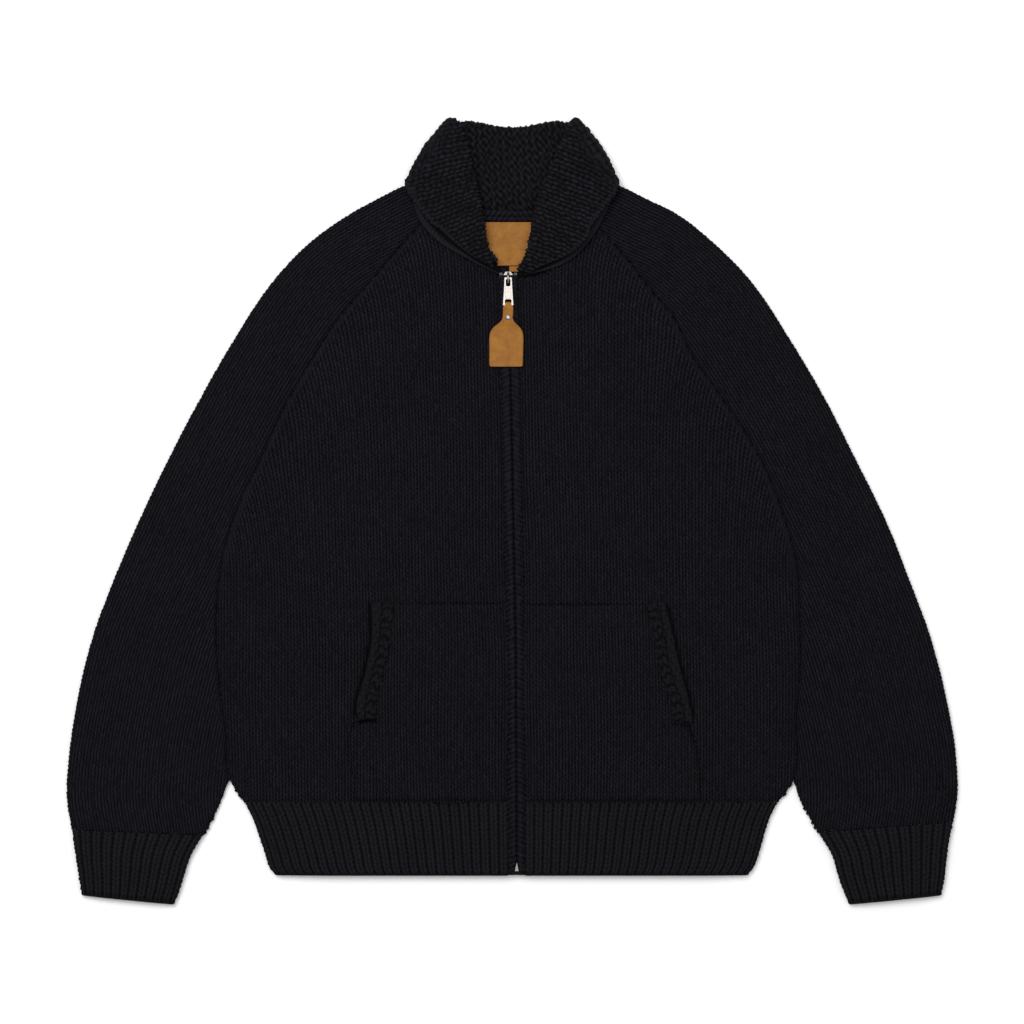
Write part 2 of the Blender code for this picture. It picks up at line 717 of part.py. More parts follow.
def collar():
    """The shawl collar, one knitted strip: stand, roll and fall, folded flat round the neck."""
    halves = []
    for side in ("left", "right"):
        rows = collar_rows(side)
        halves.append(placed(side, rows[..., 0], rows[..., 1], rows[..., 2]))
    grid = np.concatenate([halves[0], halves[1][:, -2::-1]], axis=1)
    outer, inner = wall_around(grid, COLLAR_WALL)
    return shell("collar", outer, inner, "collar")


def neck_band():
    """The band over the seam inside the back of the neck."""
    outer, inner = [], []
    profile = [(-4.0, WALL + 0.9), (-0.5, WALL + 1.0), (3.0, WALL + 1.9), (6.0, WALL + 3.3)]
    for rise, z in profile:
        row = []
        for x in np.linspace(-58, 58, 9):
            seam = float(np.interp(abs(x), *zip(*reversed(COLLAR_BACK["seam"]))))
            row.append((x, seam + rise, z + 0.7))
        inner.append(row)
        outer.append([(x, up, level + 2.0) for x, up, level in row])
    return shell("neck_band", np.array(outer), np.array(inner), "collar")


def flat_piece(name, left, right, low, high, z, thickness, finish, corner=2.0):
    """A flat plate with cut corners."""
    outline = [
        (left + corner, low), (right - corner, low), (right, low + corner),
        (right, high - corner), (right - corner, high), (left + corner, high),
        (left, high - corner), (left, low + corner),
    ]
    return prism(name, outline, z, z + thickness, finish)


# ---------------------------------------------------------------- the zip
def strip(name, heights, low_out, high_out, z, thickness, finish):
    """A flat strip along the zip, between two distances from its centre line."""
    outer, inner = [], []
    for up in heights:
        middle = float(zip_x(up))
        a, b = low_out(up), high_out(up)
        outer.append([(middle + a, up, z + thickness), (middle + b, up, z + thickness)])
        inner.append([(middle + a, up, z), (middle + b, up, z)])
    return shell(name, np.array(outer), np.array(inner), finish)


def zip_tape(side):
    near = CHAIN_WIDTH / 2 + GAP
    sign = hand(side)

    def near_edge(up):
        return sign * (near if up < SLIDER_FOOT else SLIDER_CLEAR)

    heights = [-378, -200, 0, SLIDER_FOOT - 1, SLIDER_FOOT + 0.5, 251.6]
    return strip(f"zip_tape_{side}", heights, near_edge,
                 lambda up: sign * (near + TAPE_WIDTH), WALL + 1.0, TAPE_HEIGHT, "tape")


def zip_chain():
    half = CHAIN_WIDTH / 2
    return strip("zip_chain", [-375, -200, 0, ZIP_TOP - 0.3], lambda up: -half,
                 lambda up: half, WALL + 0.5, CHAIN_HEIGHT, "metal")


def union(target, other):
    """Joins two closed solids into one."""
    change = target.modifiers.new("join", "BOOLEAN")
    change.operation = "UNION"
    change.object = other
    other.hide_render = True
    other.display_type = "WIRE"


def cut(target, cutter):
    change = target.modifiers.new("cut", "BOOLEAN")
    change.operation = "DIFFERENCE"
    change.object = cutter
    cutter.hide_render = True
    cutter.display_type = "WIRE"


def tube_along(name, path, radius, sides, finish):
    """A round bar along a path of (x, y, z) that lies in a plane of constant x."""
    path = np.array(path, float)
    way = np.gradient(path, axis=0)
    way /= np.linalg.norm(way, axis=1)[:, None]
    points, faces = [], []
    for p, t in zip(path, way):
        across = np.array([1.0, 0.0, 0.0])
        upright = np.cross(t, across)
        for k in range(sides):
            angle = 2 * math.pi * k / sides
            points.append(p + radius * (math.cos(angle) * across + math.sin(angle) * upright))
    for i in range(len(path) - 1):
        for k in range(sides):
            a, b = i * sides + k, i * sides + (k + 1) % sides
            faces.append((a, b, b + sides, a + sides))
    faces.append(tuple(range(sides - 1, -1, -1)))
    last = (len(path) - 1) * sides
    faces.append(tuple(range(last, last + sides)))
    return solid(name, points, faces, finish, 60)


SLIDER_LENGTH, SLIDER_WIDTH, SLIDER_TOP = 13.0, 9.4, 11.4
ARCH_REACH, ARCH_RADIUS = 5.2, 0.8


def slider():
    x, y, z = PULL_AXIS
    half, low = SLIDER_WIDTH / 2, ZIP_TOP + 0.2
    high = low + SLIDER_LENGTH
    outline = [
        (x - half * 0.78, low), (x + half * 0.78, low), (x + half, low + 4.0), (x + half, high - 3),
        (x + half * 0.6, high), (x - half * 0.6, high), (x - half, high - 3), (x - half, low + 4.0),
    ]
    body = prism("zip_slider", outline, WALL + 0.6, SLIDER_TOP, "metal")
    path = []
    for step in range(9):
        angle = math.pi * step / 8
        height = (z + 2.6 - SLIDER_TOP + 1.0) * math.sin(angle) ** 0.6
        path.append((x, y - ARCH_REACH * math.cos(angle), SLIDER_TOP - 1.0 + height))
    union(body, tube_along("slider_arch", path, ARCH_RADIUS, 8, "metal"))
    return body


PULL_TILT = math.radians(3.9)
SLOT_HALF, ARCH_SLOT, STRAP_SLOT = 2.1, (-8.4, -0.9), (-26.3, -23.2)
PULL_TOP, PULL_END = 1.2, -28.2


def metal_pull(axis):
    """The pull, in its own frame: its crossbar lies on the axis and it points down the zip."""
    top, bottom = 4.3, 5.2
    outline = [
        (-bottom, PULL_END + 1.2), (-bottom + 1.2, PULL_END), (bottom - 1.2, PULL_END),
        (bottom, PULL_END + 1.2), (top, PULL_TOP - 0.8), (top - 0.8, PULL_TOP),
        (0.8 - top, PULL_TOP), (-top, PULL_TOP - 0.8),
    ]
    half = PULL_THICK / 2
    plate = prism("zip_pull", outline, -half, half, "metal")
    for name, (low, high), wide in (
        ("arch_slot", ARCH_SLOT, SLOT_HALF), ("strap_slot", STRAP_SLOT, SLOT_HALF + 1.0),
    ):
        box = [(-wide, low), (wide, low), (wide, high), (-wide, high)]
        cutter = prism(name, box, -half - 1, half + 1, "metal")
        cut(plate, cutter)
        hang(cutter, axis, PULL_TILT)
    return hang(plate, axis, PULL_TILT)


def hang(obj, axis, tilt=0.0):
    """Parents a piece to the pull's axis."""
    obj.parent = axis
    obj.rotation_euler.x = -tilt
    return obj


# The leather tag's strap, in the frame of the pull's axis: along the zip, height and half width.
TAG_PATH = [
    (-45.0, -0.20, 4.6), (-30.5, -0.22, 4.6), (-28.2, -0.26, 3.0), (-26.7, -0.22, 2.6),
    (-25.3, 0.55, 2.6), (-24.75, 1.75, 2.6), (-25.1, 3.0, 2.6), (-26.4, 3.75, 2.6),
    (-28.0, 3.95, 3.0), (-30.5, 3.85, 4.7), (-34.5, 2.75, 4.7), (-37.5, 2.12, 4.7),
    (-44.5, 2.12, 5.2), (-47.0, 1.85, 6.0), (-50.0, 1.15, 7.6), (-54.0, 0.35, 10.6),
    (-60.0, -0.1, 14.2), (-66.0, -0.20, 16.0), (-72.0, -0.20, 16.4), (-89.0, -0.20, 16.4),
    (-91.2, -0.20, 15.8), (-92.0, -0.20, 14.6),
]
RIVET_PLACE = (-41.0, 2.12)


def pull_tag(axis):
    """The leather tag: its strap goes through the pull's end, folds and is riveted to itself."""
    path = np.array([(0.0, along_zip, z) for along_zip, z, _ in TAG_PATH])
    way = np.gradient(path, axis=0)
    way /= np.linalg.norm(way, axis=1)[:, None]
    points, faces = [], []
    for p, t, (_, _, half) in zip(path, way, TAG_PATH):
        face_way = np.cross(t, (1.0, 0.0, 0.0)) * TAG_THICK / 2
        across = np.array([half, 0.0, 0.0])
        points += [p - across - face_way, p + across - face_way,
                   p + across + face_way, p - across + face_way]
    for i in range(len(path) - 1):
        for k in range(4):
            a, b = 4 * i + k, 4 * i + (k + 1) % 4
            faces.append((a, b, b + 4, a + 4))
    last = 4 * (len(path) - 1)
    faces += [(3, 2, 1, 0), (last, last + 1, last + 2, last + 3)]
    return hang(solid("pull_tag", points, faces, "leather"), axis)


def rivet(axis):
    """A domed head on the tag."""
    rings = [(RIVET_RADIUS, 0.0), (RIVET_RADIUS * 0.95, 0.4), (RIVET_RADIUS * 0.55, 0.9)]
    sides = 16
    y, z = RIVET_PLACE
    base = z + TAG_THICK / 2 + GAP
    points = [
        (r * math.cos(2 * math.pi * k / sides), y + r * math.sin(2 * math.pi * k / sides), base + h)
        for r, h in rings for k in range(sides)
    ]
    faces = [
        (i * sides + k, i * sides + (k + 1) % sides,
         (i + 1) * sides + (k + 1) % sides, (i + 1) * sides + k)
        for i in range(len(rings) - 1) for k in range(sides)
    ]
    faces += [tuple(range(sides - 1, -1, -1)), tuple(range(2 * sides, 3 * sides))]
    return hang(solid("pull_rivet", points, faces, "metal", 30), axis)


def zip_stops_and_box():
    x = PULL_AXIS[0]
    for side in ("left", "right"):
        middle = x + hand(side) * 7.6
        flat_piece(f"zip_stop_{side}", middle - 1.6, middle + 1.6, 247.6, 251.4,
                   WALL + 2.1, 3.4, "metal", 0.5)
    foot = float(zip_x(-377))
    outline = [(foot - 2.0, -377.0), (foot + 2.0, -377.0), (foot + 0.2, -368.6),
               (foot - 0.2, -368.6)]
    prism("zip_box", outline, WALL + 3.2, WALL + 8.0, "metal")


# ---------------------------------------------------------------- the garment
def centre():
    """Moves the garment so that its origin lies under the middle of it."""
    pieces = [obj for obj in bpy.data.objects if obj.parent is None]
    spots = np.concatenate([
        np.array([tuple(v.co) for v in obj.data.vertices]) for obj in pieces if obj.type == "MESH"
    ])
    middle = (spots.min(axis=0) + spots.max(axis=0)) / 2
    for obj in pieces:
        obj.location.x -= middle[0]
        obj.location.y -= middle[1]


def main():
    for obj in list(bpy.data.objects):
        bpy.data.objects.remove(obj, do_unlink=True)
    back_panel()
    hem_back()
    for side in ("left", "right"):
        front_panel(side)
        hem_front(side)
        placket(side)
        pocket(side)
        welt(side)
        sleeve(side)
        cuff(side)
        zip_tape(side)
    collar()
    neck_band()
    flat_piece("neck_label", -43.0, 37.0, 259.0, 305.0, WALL + GAP, 1.8, "leather")
    flat_piece("size_tab", -3.0, 16.0, 252.6, 258.6, WALL + GAP, 1.6, "leather", 0.5)
    zip_chain()
    slider()
    zip_stops_and_box()
    axis = bpy.data.objects.new("pull_axis", None)
    bpy.context.scene.collection.objects.link(axis)
    axis.location = tuple(v * MM for v in PULL_AXIS)
    metal_pull(axis)
    pull_tag(axis)
    rivet(axis)
    centre()


main()
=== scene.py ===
"""A bulky knitted cardigan with a shawl collar, laid flat and zipped up.

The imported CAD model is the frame.  Every knitted piece is a stitched sheet on its solid's form:
columns of V stitches (wales) crossed by rows (courses), with a relief for each stitch.
Lengths are millimetres in the garment's own frame (x right, y up, z off the ground, the middle of
the photograph at x 0, y 0) until a mesh is made.
"""
import math
import bpy
import numpy as np
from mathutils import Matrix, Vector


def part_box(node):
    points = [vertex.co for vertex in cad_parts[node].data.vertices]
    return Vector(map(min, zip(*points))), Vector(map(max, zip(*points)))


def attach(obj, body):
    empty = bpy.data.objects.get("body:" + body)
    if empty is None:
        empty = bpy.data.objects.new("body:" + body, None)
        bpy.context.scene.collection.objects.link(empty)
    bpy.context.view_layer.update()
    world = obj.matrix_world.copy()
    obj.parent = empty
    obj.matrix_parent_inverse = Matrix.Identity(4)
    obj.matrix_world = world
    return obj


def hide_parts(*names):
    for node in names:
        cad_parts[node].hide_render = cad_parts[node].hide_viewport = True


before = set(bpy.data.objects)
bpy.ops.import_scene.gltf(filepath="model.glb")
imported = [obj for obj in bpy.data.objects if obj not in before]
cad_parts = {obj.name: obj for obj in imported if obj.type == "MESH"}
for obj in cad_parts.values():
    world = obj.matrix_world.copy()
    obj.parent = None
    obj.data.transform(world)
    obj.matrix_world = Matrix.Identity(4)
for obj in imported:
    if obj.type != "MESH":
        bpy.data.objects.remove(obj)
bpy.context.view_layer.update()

# ---------------------------------------------------------------- the garment's lines
SIDES = ("left", "right")  # the viewer's

# (out, up) points: out is away from the middle on either side.
EDGES = {
    "left": {
        "sleeve_outer": [(464, -334), (469, -300), (467, -261), (458, -198), (443, -135),
                         (420, -72), (393, -9), (363, 54), (330, 117), (294, 180), (252, 243),
                         (214, 283), (171, 314), (140, 331), (120, 341), (108, 346)],
        "sleeve_inner": [(324, -340), (313, -320), (304, -299), (298, -280)],
        "body_side": [(282, -306), (297, -282), (302, -230), (308, -183), (312, -121), (310, -80)],
        "raglan": [(310, -80), (301, -32), (284, 16), (264, 57), (240, 110), (214, 155),
                   (184, 202), (143, 250), (118, 279), (96, 303)],
        "neck_front": [(14.5, 248), (27, 254.5), (52, 267.5), (77, 282), (96, 303)],
        "neck_back": [(0, 310), (29, 311), (65, 314), (97, 319)],
        "hem_side": [(282, -306), (275, -320), (267, -341), (260, -362), (255, -376), (248, -382)],
        "cuff_outer": [(464, -334), (460, -362), (456, -387), (454, -401)],
        "cuff_inner": [(324, -340), (337, -362), (344, -383), (351, -404), (354, -411)],
        "pocket_side": [(168, -306), (167, -292), (174, -238), (168, -222)],
        "welt_seam": [(143, -219), (142, -204), (135, -169), (130, -150), (126, -122), (124, -95)],
        "welt_mouth": [(161, -219), (163, -211), (155, -172), (150, -150), (147, -130),
                       (148, -95)],
    },
    "right": {
        "sleeve_outer": [(465, -326), (469, -299), (468, -261), (458, -198), (442, -135),
                         (419, -72), (394, -9), (363, 54), (331, 117), (294, 180), (252, 243),
                         (213, 283), (174, 314), (140, 331), (120, 341), (108, 346)],
        "sleeve_inner": [(321, -337), (312, -320), (301, -299), (297, -281)],
        "body_side": [(280, -306), (296, -283), (300, -217), (304, -156), (304, -95)],
        "raglan": [(304, -95), (299, -50), (286, -3), (267, 46), (243, 88), (216, 128),
                   (189, 166), (169, 208), (148, 232), (124, 263), (92, 299)],
        "neck_front": [(13, 247), (35, 252), (66, 266), (80, 281), (92, 299)],
        "neck_back": [(0, 310), (29, 311), (65, 314), (97, 319)],
        "hem_side": [(280, -306), (273, -320), (266, -341), (260, -362), (255, -374), (248, -382)],
        "cuff_outer": [(465, -326), (460, -351), (456, -383), (453, -401)],
        "cuff_inner": [(321, -337), (336, -362), (342, -383), (350, -404), (353, -411)],
        "pocket_side": [(201, -306), (200, -292), (193, -238), (187, -224)],
        "welt_seam": [(171, -222), (166, -199), (159, -179), (153, -159), (149, -131), (141, -95)],
        "welt_mouth": [(190, -220), (188, -208), (183, -186), (176, -160), (171, -137),
                       (161, -95)],
    },
}
COLLAR = {
    "left": {
        "seam": [(13.5, 249.6), (27, 255.8), (52, 268.8), (76, 283), (95, 303.5), (105, 329)],
        "roll": [(17, 262.5), (25, 273), (29.5, 287), (31.3, 305), (36, 325), (39, 338), (44, 363),
                 (50, 386), (58, 407)],
        "free": [(20.5, 256.3), (34, 264), (48, 272), (62, 284), (75, 295), (88, 305), (97, 317),
                 (110, 336)],
    },
    "right": {
        "seam": [(9, 248.6), (35, 253.8), (65, 267.3), (79, 282), (91, 299.5), (105, 329)],
        "roll": [(7, 253), (12.5, 262), (17.5, 272), (20.5, 286), (24, 305), (33, 338), (44, 363),
                 (54, 386), (62, 406)],
        "free": [(18, 250.9), (32, 258), (60, 270), (78, 286), (84, 300), (97, 317), (110, 336)],
    },
}
COLLAR_BACK = {
    "seam": [(105, 329), (92, 321), (65, 315.5), (29, 311.5), (0, 310.5)],
    "roll": [(60, 407), (48, 408.5), (35, 406.8), (13, 402.5), (0, 401.8)],
    "free": [(96, 346), (80, 338), (50, 332), (0, 331)],
}
ZIP_LINE = [(-376, 5), (-145, 4), (75, 0), (254, -4)]  # (up, x)
HEM_SEAM, HEM_EDGE, POCKET_TOP, WELT_FOOT = -306.0, -382.0, -95.0, -219.0
FORK = -279.0  # where the sleeve's inner fold meets the body's side
# Air between the layers: how much higher the upper one lies, and how far in from its edge.
BODY_CROWN, SLEEVE_CROWN, CROWN_REACH, RAGLAN_LIFT = 3.2, 2.4, 60.0, 1.5
FOLD_Z = 4.15  # height of the crease where an upper and a lower layer turn into each other
FLAT_TOP = 8.3  # top of the two layers where no air lies between them
WALE, COURSE = 6.6, 4.8  # one stitch: width and height

# Where the neck label's corner lies in the frame and in the garment's own numbers.
SHIFT = np.array(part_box("neck_label")[0]) * 1000.0 - np.array((-43.0, 259.0, 4.3))


# ---------------------------------------------------------------- lines
PER_SEGMENT = 24  # points of a dense line to each given one


def smooth(share):
    s = np.clip(share, 0.0, 1.0)
    return s * s * (3 - 2 * s)


def mix(a, b, share):
    return a + (b - a) * share


def fade(distance, reach):
    """1 at no distance, falling softly to 0 at this reach."""
    return 1 - smooth(distance / reach)


def bell(distance, width):
    return np.exp(-(distance / width) ** 2)


def unit(vectors):
    """The vectors at length 1."""
    return vectors / np.linalg.norm(vectors, axis=-1)[..., None]


def run_of(line):
    """Length along a line at each of its points."""
    return np.concatenate([[0], np.cumsum(np.linalg.norm(np.diff(line, axis=0), axis=1))])


def at_run(place, run, line):
    """Points of a line at places along its run."""
    return np.stack([np.interp(place, run, row) for row in line.T], axis=-1)


def spline(t, a, b, step, slope_a, slope_b):
    """A smooth curve from a to b, at shares t of the way."""
    return ((2 * t**3 - 3 * t**2 + 1) * a + (t**3 - 2 * t**2 + t) * step * slope_a
            + (3 * t**2 - 2 * t**3) * b + (t**3 - t**2) * step * slope_b)


def dense_line(points):
    """Many points along a smooth line through the given ones."""
    p = np.array(points, float)
    run = run_of(p)
    slope = np.gradient(p, run, axis=0)
    t = np.linspace(0, 1, PER_SEGMENT, endpoint=False)[:, None]
    found = [spline(t, *ends) for ends in zip(p, p[1:], np.diff(run), slope, slope[1:])]
    return np.concatenate([*found, p[-1:]])


def along(points, count):
    """count points at equal steps along the smooth line through the given ones."""
    line = dense_line(points)
    run = run_of(line)
    return at_run(np.linspace(0, run[-1], count), run, line)


def out_at(points, up):
    """How far out a line that climbs steadily lies at the given heights."""
    line = dense_line(points)
    order = np.argsort(line[:, 1])
    return np.interp(up, line[order, 1], line[order, 0])


def zip_x(up):
    heights, places = zip(*ZIP_LINE)
    return np.interp(up, heights, places)


def back_neck(x):
    """Height of the back's neck edge at places across the garment."""
    return np.interp(np.abs(x), *np.array(EDGES["left"]["neck_back"], float).T)


def hand(side):
    return -1.0 if side == "left" else 1.0


def both(make):
    """What a function makes for either side."""
    return {side: make(side) for side in SIDES}


def points_of(side, out, up, z):
    """A grid of points from places out from the middle on one side."""
    return np.stack([hand(side) * out, up, z], axis=-1)


def seed_of(side, first):
    """The seed of a piece's random draws: the left piece has the first, the right the next."""
    return first if side == "left" else first + 1


def waves(x, y, seed, size, count=6):
    """A soft uneven field of about unit height, with waves of this size."""
    draw = np.random.default_rng(seed)
    total = np.zeros(np.broadcast(x, y).shape)
    for _ in range(count):
        angle, phase = draw.uniform(0, 2 * math.pi, 2)
        length = size * draw.uniform(0.7, 1.6)
        total += np.sin((x * math.cos(angle) + y * math.sin(angle)) * 2 * math.pi / length + phase)
    return total / math.sqrt(count)


# ---------------------------------------------------------------- meshes
def linked(name, data):
    """A new object of the scene with this data."""
    made = bpy.data.objects.new(name, data)
    bpy.context.scene.collection.objects.link(made)
    return made


def mesh_object(name, points, faces, finish, relief=None):
    """A mesh from points in millimetres and quads, without the points that no face uses.

    relief, from 0 in the gaps between yarns to 1 on top of them, is kept as an attribute; the wool
    materials paint shade into the gaps from it.
    """
    points = np.asarray(points, float).reshape(-1, 3)
    used, faces = np.unique(np.asarray(faces, np.int64).reshape(-1, 4), return_inverse=True)
    faces = faces.reshape(-1, 4)
    points = (points[used] + SHIFT) * 0.001
    mesh = bpy.data.meshes.new(name)
    mesh.vertices.add(len(points))
    mesh.vertices.foreach_set("co", points.ravel())
    mesh.loops.add(faces.size)
    mesh.loops.foreach_set("vertex_index", faces.ravel().astype(np.int32))
    mesh.polygons.add(len(faces))
    mesh.polygons.foreach_set("loop_start", np.arange(0, faces.size, 4, dtype=np.int32))
    mesh.polygons.foreach_set("use_smooth", np.ones(len(faces), bool))
    mesh.update(calc_edges=True)
    mesh.validate()
    if relief is not None:
        kept = np.clip(relief.ravel()[used], 0, 1.4)
        mesh.attributes.new("relief", "FLOAT", "POINT").data.foreach_set("value", kept)
    mesh.materials.append(finish)
    return linked(name, mesh)


def grid_faces(rows, columns, ring=False):
    """Quads of a grid of points; a ring's columns close on themselves."""
    wraps = columns if ring else columns - 1
    i, j = np.meshgrid(np.arange(rows - 1), np.arange(wraps), indexing="ij")
    a = i * columns + j
    b = i * columns + (j + 1) % columns
    return np.stack([a, b, b + columns, a + columns], axis=-1).reshape(-1, 4)


def dropped(faces, *lost):
    """The quads left once those that lie wholly among the lost points are gone."""
    keep = np.ones(len(faces), bool)
    for points in lost:
        keep &= ~points.ravel()[faces].all(axis=1)
    return faces[keep]


def outwards(across, up):
    """Unit directions square to both of two fields of directions."""
    normal = np.cross(across, up)
    return normal / np.maximum(np.linalg.norm(normal, axis=-1), 1e-9)[..., None]


def flipped(grid, reverse):
    """A grid with its columns in reverse order, which turns its faces round, or as it is."""
    return grid[:, ::-1] if reverse else grid


# ---------------------------------------------------------------- stitches
RELIEF = {  # rows of a course, each: between wales, first leg, between legs, second leg
    3: [[0.0, 0.36, 0.04, 0.36], [0.10, 1.0, 0.18, 1.0], [0.08, 0.94, 0.15, 0.94]],
    2: [[0.0, 0.55, 0.05, 0.55], [0.10, 1.0, 0.18, 1.0]],
}
STITCH_DEPTH = 1.6  # from the tops of the yarns to the gaps between them
V_RISE = 1.15  # how far a stitch's legs climb from its point to its sides, in courses
UNEVEN = 0.14  # spread of the relief from leg to leg
V_JITTER, U_JITTER = 0.045, 0.030  # spread of the points' places, in courses and wales
TOP_RELIEF = 1.05  # no yarn stands higher


def stitches(first_wale, wales, first_course, courses, fine, seed):
    """Wale and course coordinates of a grid of V stitches, and each point's relief from 0 to 1."""
    draw = np.random.default_rng(seed)
    quarters = np.arange(first_wale * 4, (first_wale + wales) * 4 + 1)
    step = np.arange(first_course * fine, (first_course + courses) * fine + 1)
    u, v = np.meshgrid(quarters / 4.0, step / fine)
    share = u % 1.0
    relief = np.array(RELIEF[fine])[step % fine][:, quarters % 4]
    legs = draw.normal(0, 1, (courses + 2, 2 * wales + 3))
    leg = np.floor(u * 2).astype(int) - 2 * first_wale
    stitch = np.floor(v).astype(int) - first_course
    relief = relief * (1 + UNEVEN * legs[stitch, leg])
    v = v + V_RISE * np.abs(2 * share - 1)
    v = v + draw.normal(0, V_JITTER, v.shape)
    u = u + draw.normal(0, U_JITTER, u.shape)
    return u, v, relief


def worked(surface, relief):
    """Points of a surface sunk along its normals where the relief is low."""
    normal = outwards(np.gradient(surface, axis=1), np.gradient(surface, axis=0))
    return surface + normal * ((np.minimum(relief, TOP_RELIEF) - 1.0) * STITCH_DEPTH)[..., None]


def quarter(s, radius):
    """Inset and turn of a cloth that rounds an edge, at a distance s along it."""
    turn = np.minimum(s / radius, math.pi / 2)
    inset = np.where(s < math.pi / 2 * radius, radius * (1 - np.cos(turn)),
                     s - (math.pi / 2 - 1) * radius)
    return inset, turn


# ---------------------------------------------------------------- materials
def node(tree, kind, place, **settings):
    made = tree.nodes.new(kind)
    made.location = place
    for key, value in settings.items():
        setattr(made, key, value)
    return made


def ramp_between(tree, place, factor, low, high, start, stop):
    """A colour ramp from low to high, fed by a node's output."""
    made = node(tree, "ShaderNodeValToRGB", place)
    made.color_ramp.elements[0].position = start
    made.color_ramp.elements[0].color = (*low, 1)
    made.color_ramp.elements[1].position = stop
    made.color_ramp.elements[1].color = (*high, 1)
    tree.links.new(factor, made.inputs["Fac"])
    return made.outputs["Color"]


def noise(tree, place, vector, scale, detail, rough=0.5):
    made = node(tree, "ShaderNodeTexNoise", place)
    made.inputs["Scale"].default_value = scale
    made.inputs["Detail"].default_value = detail
    made.inputs["Roughness"].default_value = rough
    tree.links.new(vector, made.inputs["Vector"])
    return made.outputs["Fac"]


def new_material(name):
    made = bpy.data.materials.new(name)
    made.use_nodes = True
    tree = made.node_tree
    shader = tree.nodes["Principled BSDF"]
    place = node(tree, "ShaderNodeTexCoord", (-1400, 0)).outputs["Object"]
    return made, tree, shader, place


def bumped(tree, shader, height, distance, strength=1.0):
    bump = node(tree, "ShaderNodeBump", (-250, -350))
    bump.inputs["Distance"].default_value = distance
    bump.inputs["Strength"].default_value = strength
    tree.links.new(height, bump.inputs["Height"])
    tree.links.new(bump.outputs["Normal"], shader.inputs["Normal"])


def relief_tone(tree, height, low, start, stop):
    """A tone from low where the relief is low to full where it is high."""
    relief = node(tree, "ShaderNodeAttribute", (-1100, height), attribute_name="relief")
    return ramp_between(tree, (-800, height), relief.outputs["Fac"], low, (1, 1, 1), start, stop)


def roughened(tree, shader, place, factor, low, high):
    """Sets the roughness from low to high by a node's output."""
    spread = node(tree, "ShaderNodeMapRange", place)
    spread.inputs["To Min"].default_value = low
    spread.inputs["To Max"].default_value = high
    tree.links.new(factor, spread.inputs["Value"])
    tree.links.new(spread.outputs["Result"], shader.inputs["Roughness"])


def joined(tree, operation, first, second):
    made = node(tree, "ShaderNodeMath", (-500, -350), operation=operation)
    tree.links.new(first, made.inputs[0])
    tree.links.new(second, made.inputs[1])
    return made.outputs["Value"]


def multiplied(tree, place, first, second):
    made = node(tree, "ShaderNodeMix", place, data_type="RGBA", blend_type="MULTIPLY")
    made.inputs["Factor"].default_value = 1.0
    tree.links.new(first, made.inputs["A"])
    tree.links.new(second, made.inputs["B"])
    return made.outputs["Result"]


PAINTED_GAP_SHADE = 0.02  # painted shade: how dark the gaps between yarns are painted beside their tops


def wool(name, dark, light, sheen=0.03):
    """Black bulky wool: fine loose fibres, flecks of paler fibre, soft worn patches and painted
    shade in the gaps between yarns.
    """
    made, tree, shader, place = new_material(name)
    fibre = noise(tree, (-1100, 200), place, 1300.0, 3.0, 0.65)
    patch = noise(tree, (-1100, -50), place, 22.0, 2.0)
    yarn = noise(tree, (-1100, -300), place, 260.0, 2.0)
    flecks = ramp_between(tree, (-800, 200), fibre, dark, light, 0.30, 0.78)
    worn = ramp_between(tree, (-800, -50), patch, (0.85, 0.85, 0.87), (1.0, 0.98, 0.98), 0.3, 0.7)
    # painted shade: where the relief is low, between the yarns, the colour is darkened as if in
    # shadow
    painted_gap_shade = relief_tone(tree, 450, (PAINTED_GAP_SHADE,) * 3, 0.15, 1.0)
    tone = multiplied(tree, (-500, 350), flecks, worn)
    tree.links.new(multiplied(tree, (-300, 250), tone, painted_gap_shade), shader.inputs["Base Color"])
    roughened(tree, shader, (-500, -100), yarn, 0.80, 0.98)
    shader.inputs["Specular IOR Level"].default_value = 0.12
    shader.inputs["Specular Tint"].default_value = (0.93, 0.93, 1.0, 1)
    shader.inputs["Sheen Weight"].default_value = sheen
    shader.inputs["Sheen Roughness"].default_value = 0.5
    shader.inputs["Sheen Tint"].default_value = (0.095, 0.085, 0.13, 1)
    bumped(tree, shader, joined(tree, "ADD", fibre, yarn), 0.0009)
    return made


WOOL = wool("wool_body", (0.0068, 0.0063, 0.0103), (0.0226, 0.0211, 0.0318))
WOOL_RIB = wool("wool_rib", (0.0058, 0.0057, 0.0077), (0.0190, 0.0186, 0.0240))
WOOL_COLLAR = wool("wool_collar", (0.0086, 0.0083, 0.0118), (0.0310, 0.0297, 0.0400))


def knitted(name, points, faces, finish, slot, *nodes, relief=None):
    """A knitted piece of the garment that stands for these nodes."""
    points = np.array(points, float).reshape(-1, 3)
    points[:, 2] = np.maximum(points[:, 2], 0.0)
    made = mesh_object(name, points, faces, finish, relief)
    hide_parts(*nodes)
    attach(made, "garment")
    return made


def stitched(name, grid, relief, lost, reverse, node_name):
    """A panel of V stitches on a grid, without the quads that lie wholly among lost points."""
    grid, relief = flipped(grid, reverse), flipped(relief, reverse)
    faces = dropped(grid_faces(*relief.shape), *(flipped(points, reverse) for points in lost))
    return knitted(name, worked(grid, relief), faces, WOOL, "wool", node_name, relief=relief)


def banded(name, grid, relief, reverse, finish, slot, *nodes, ring=False):
    """A knitted band that has the whole of its grid."""
    grid, relief = flipped(grid, reverse), flipped(relief, reverse)
    faces = grid_faces(*relief.shape, ring=ring)
    return knitted(name, grid, faces, finish, slot, *nodes, relief=relief)


# ---------------------------------------------------------------- the upper layer of the body
def folded_at(side, up):
    """1 where the body's edge is a side fold, 0 where it is the raglan seam."""
    return 1.0 - smooth((up - EDGES[side]["raglan"][0][1]) / 60.0)


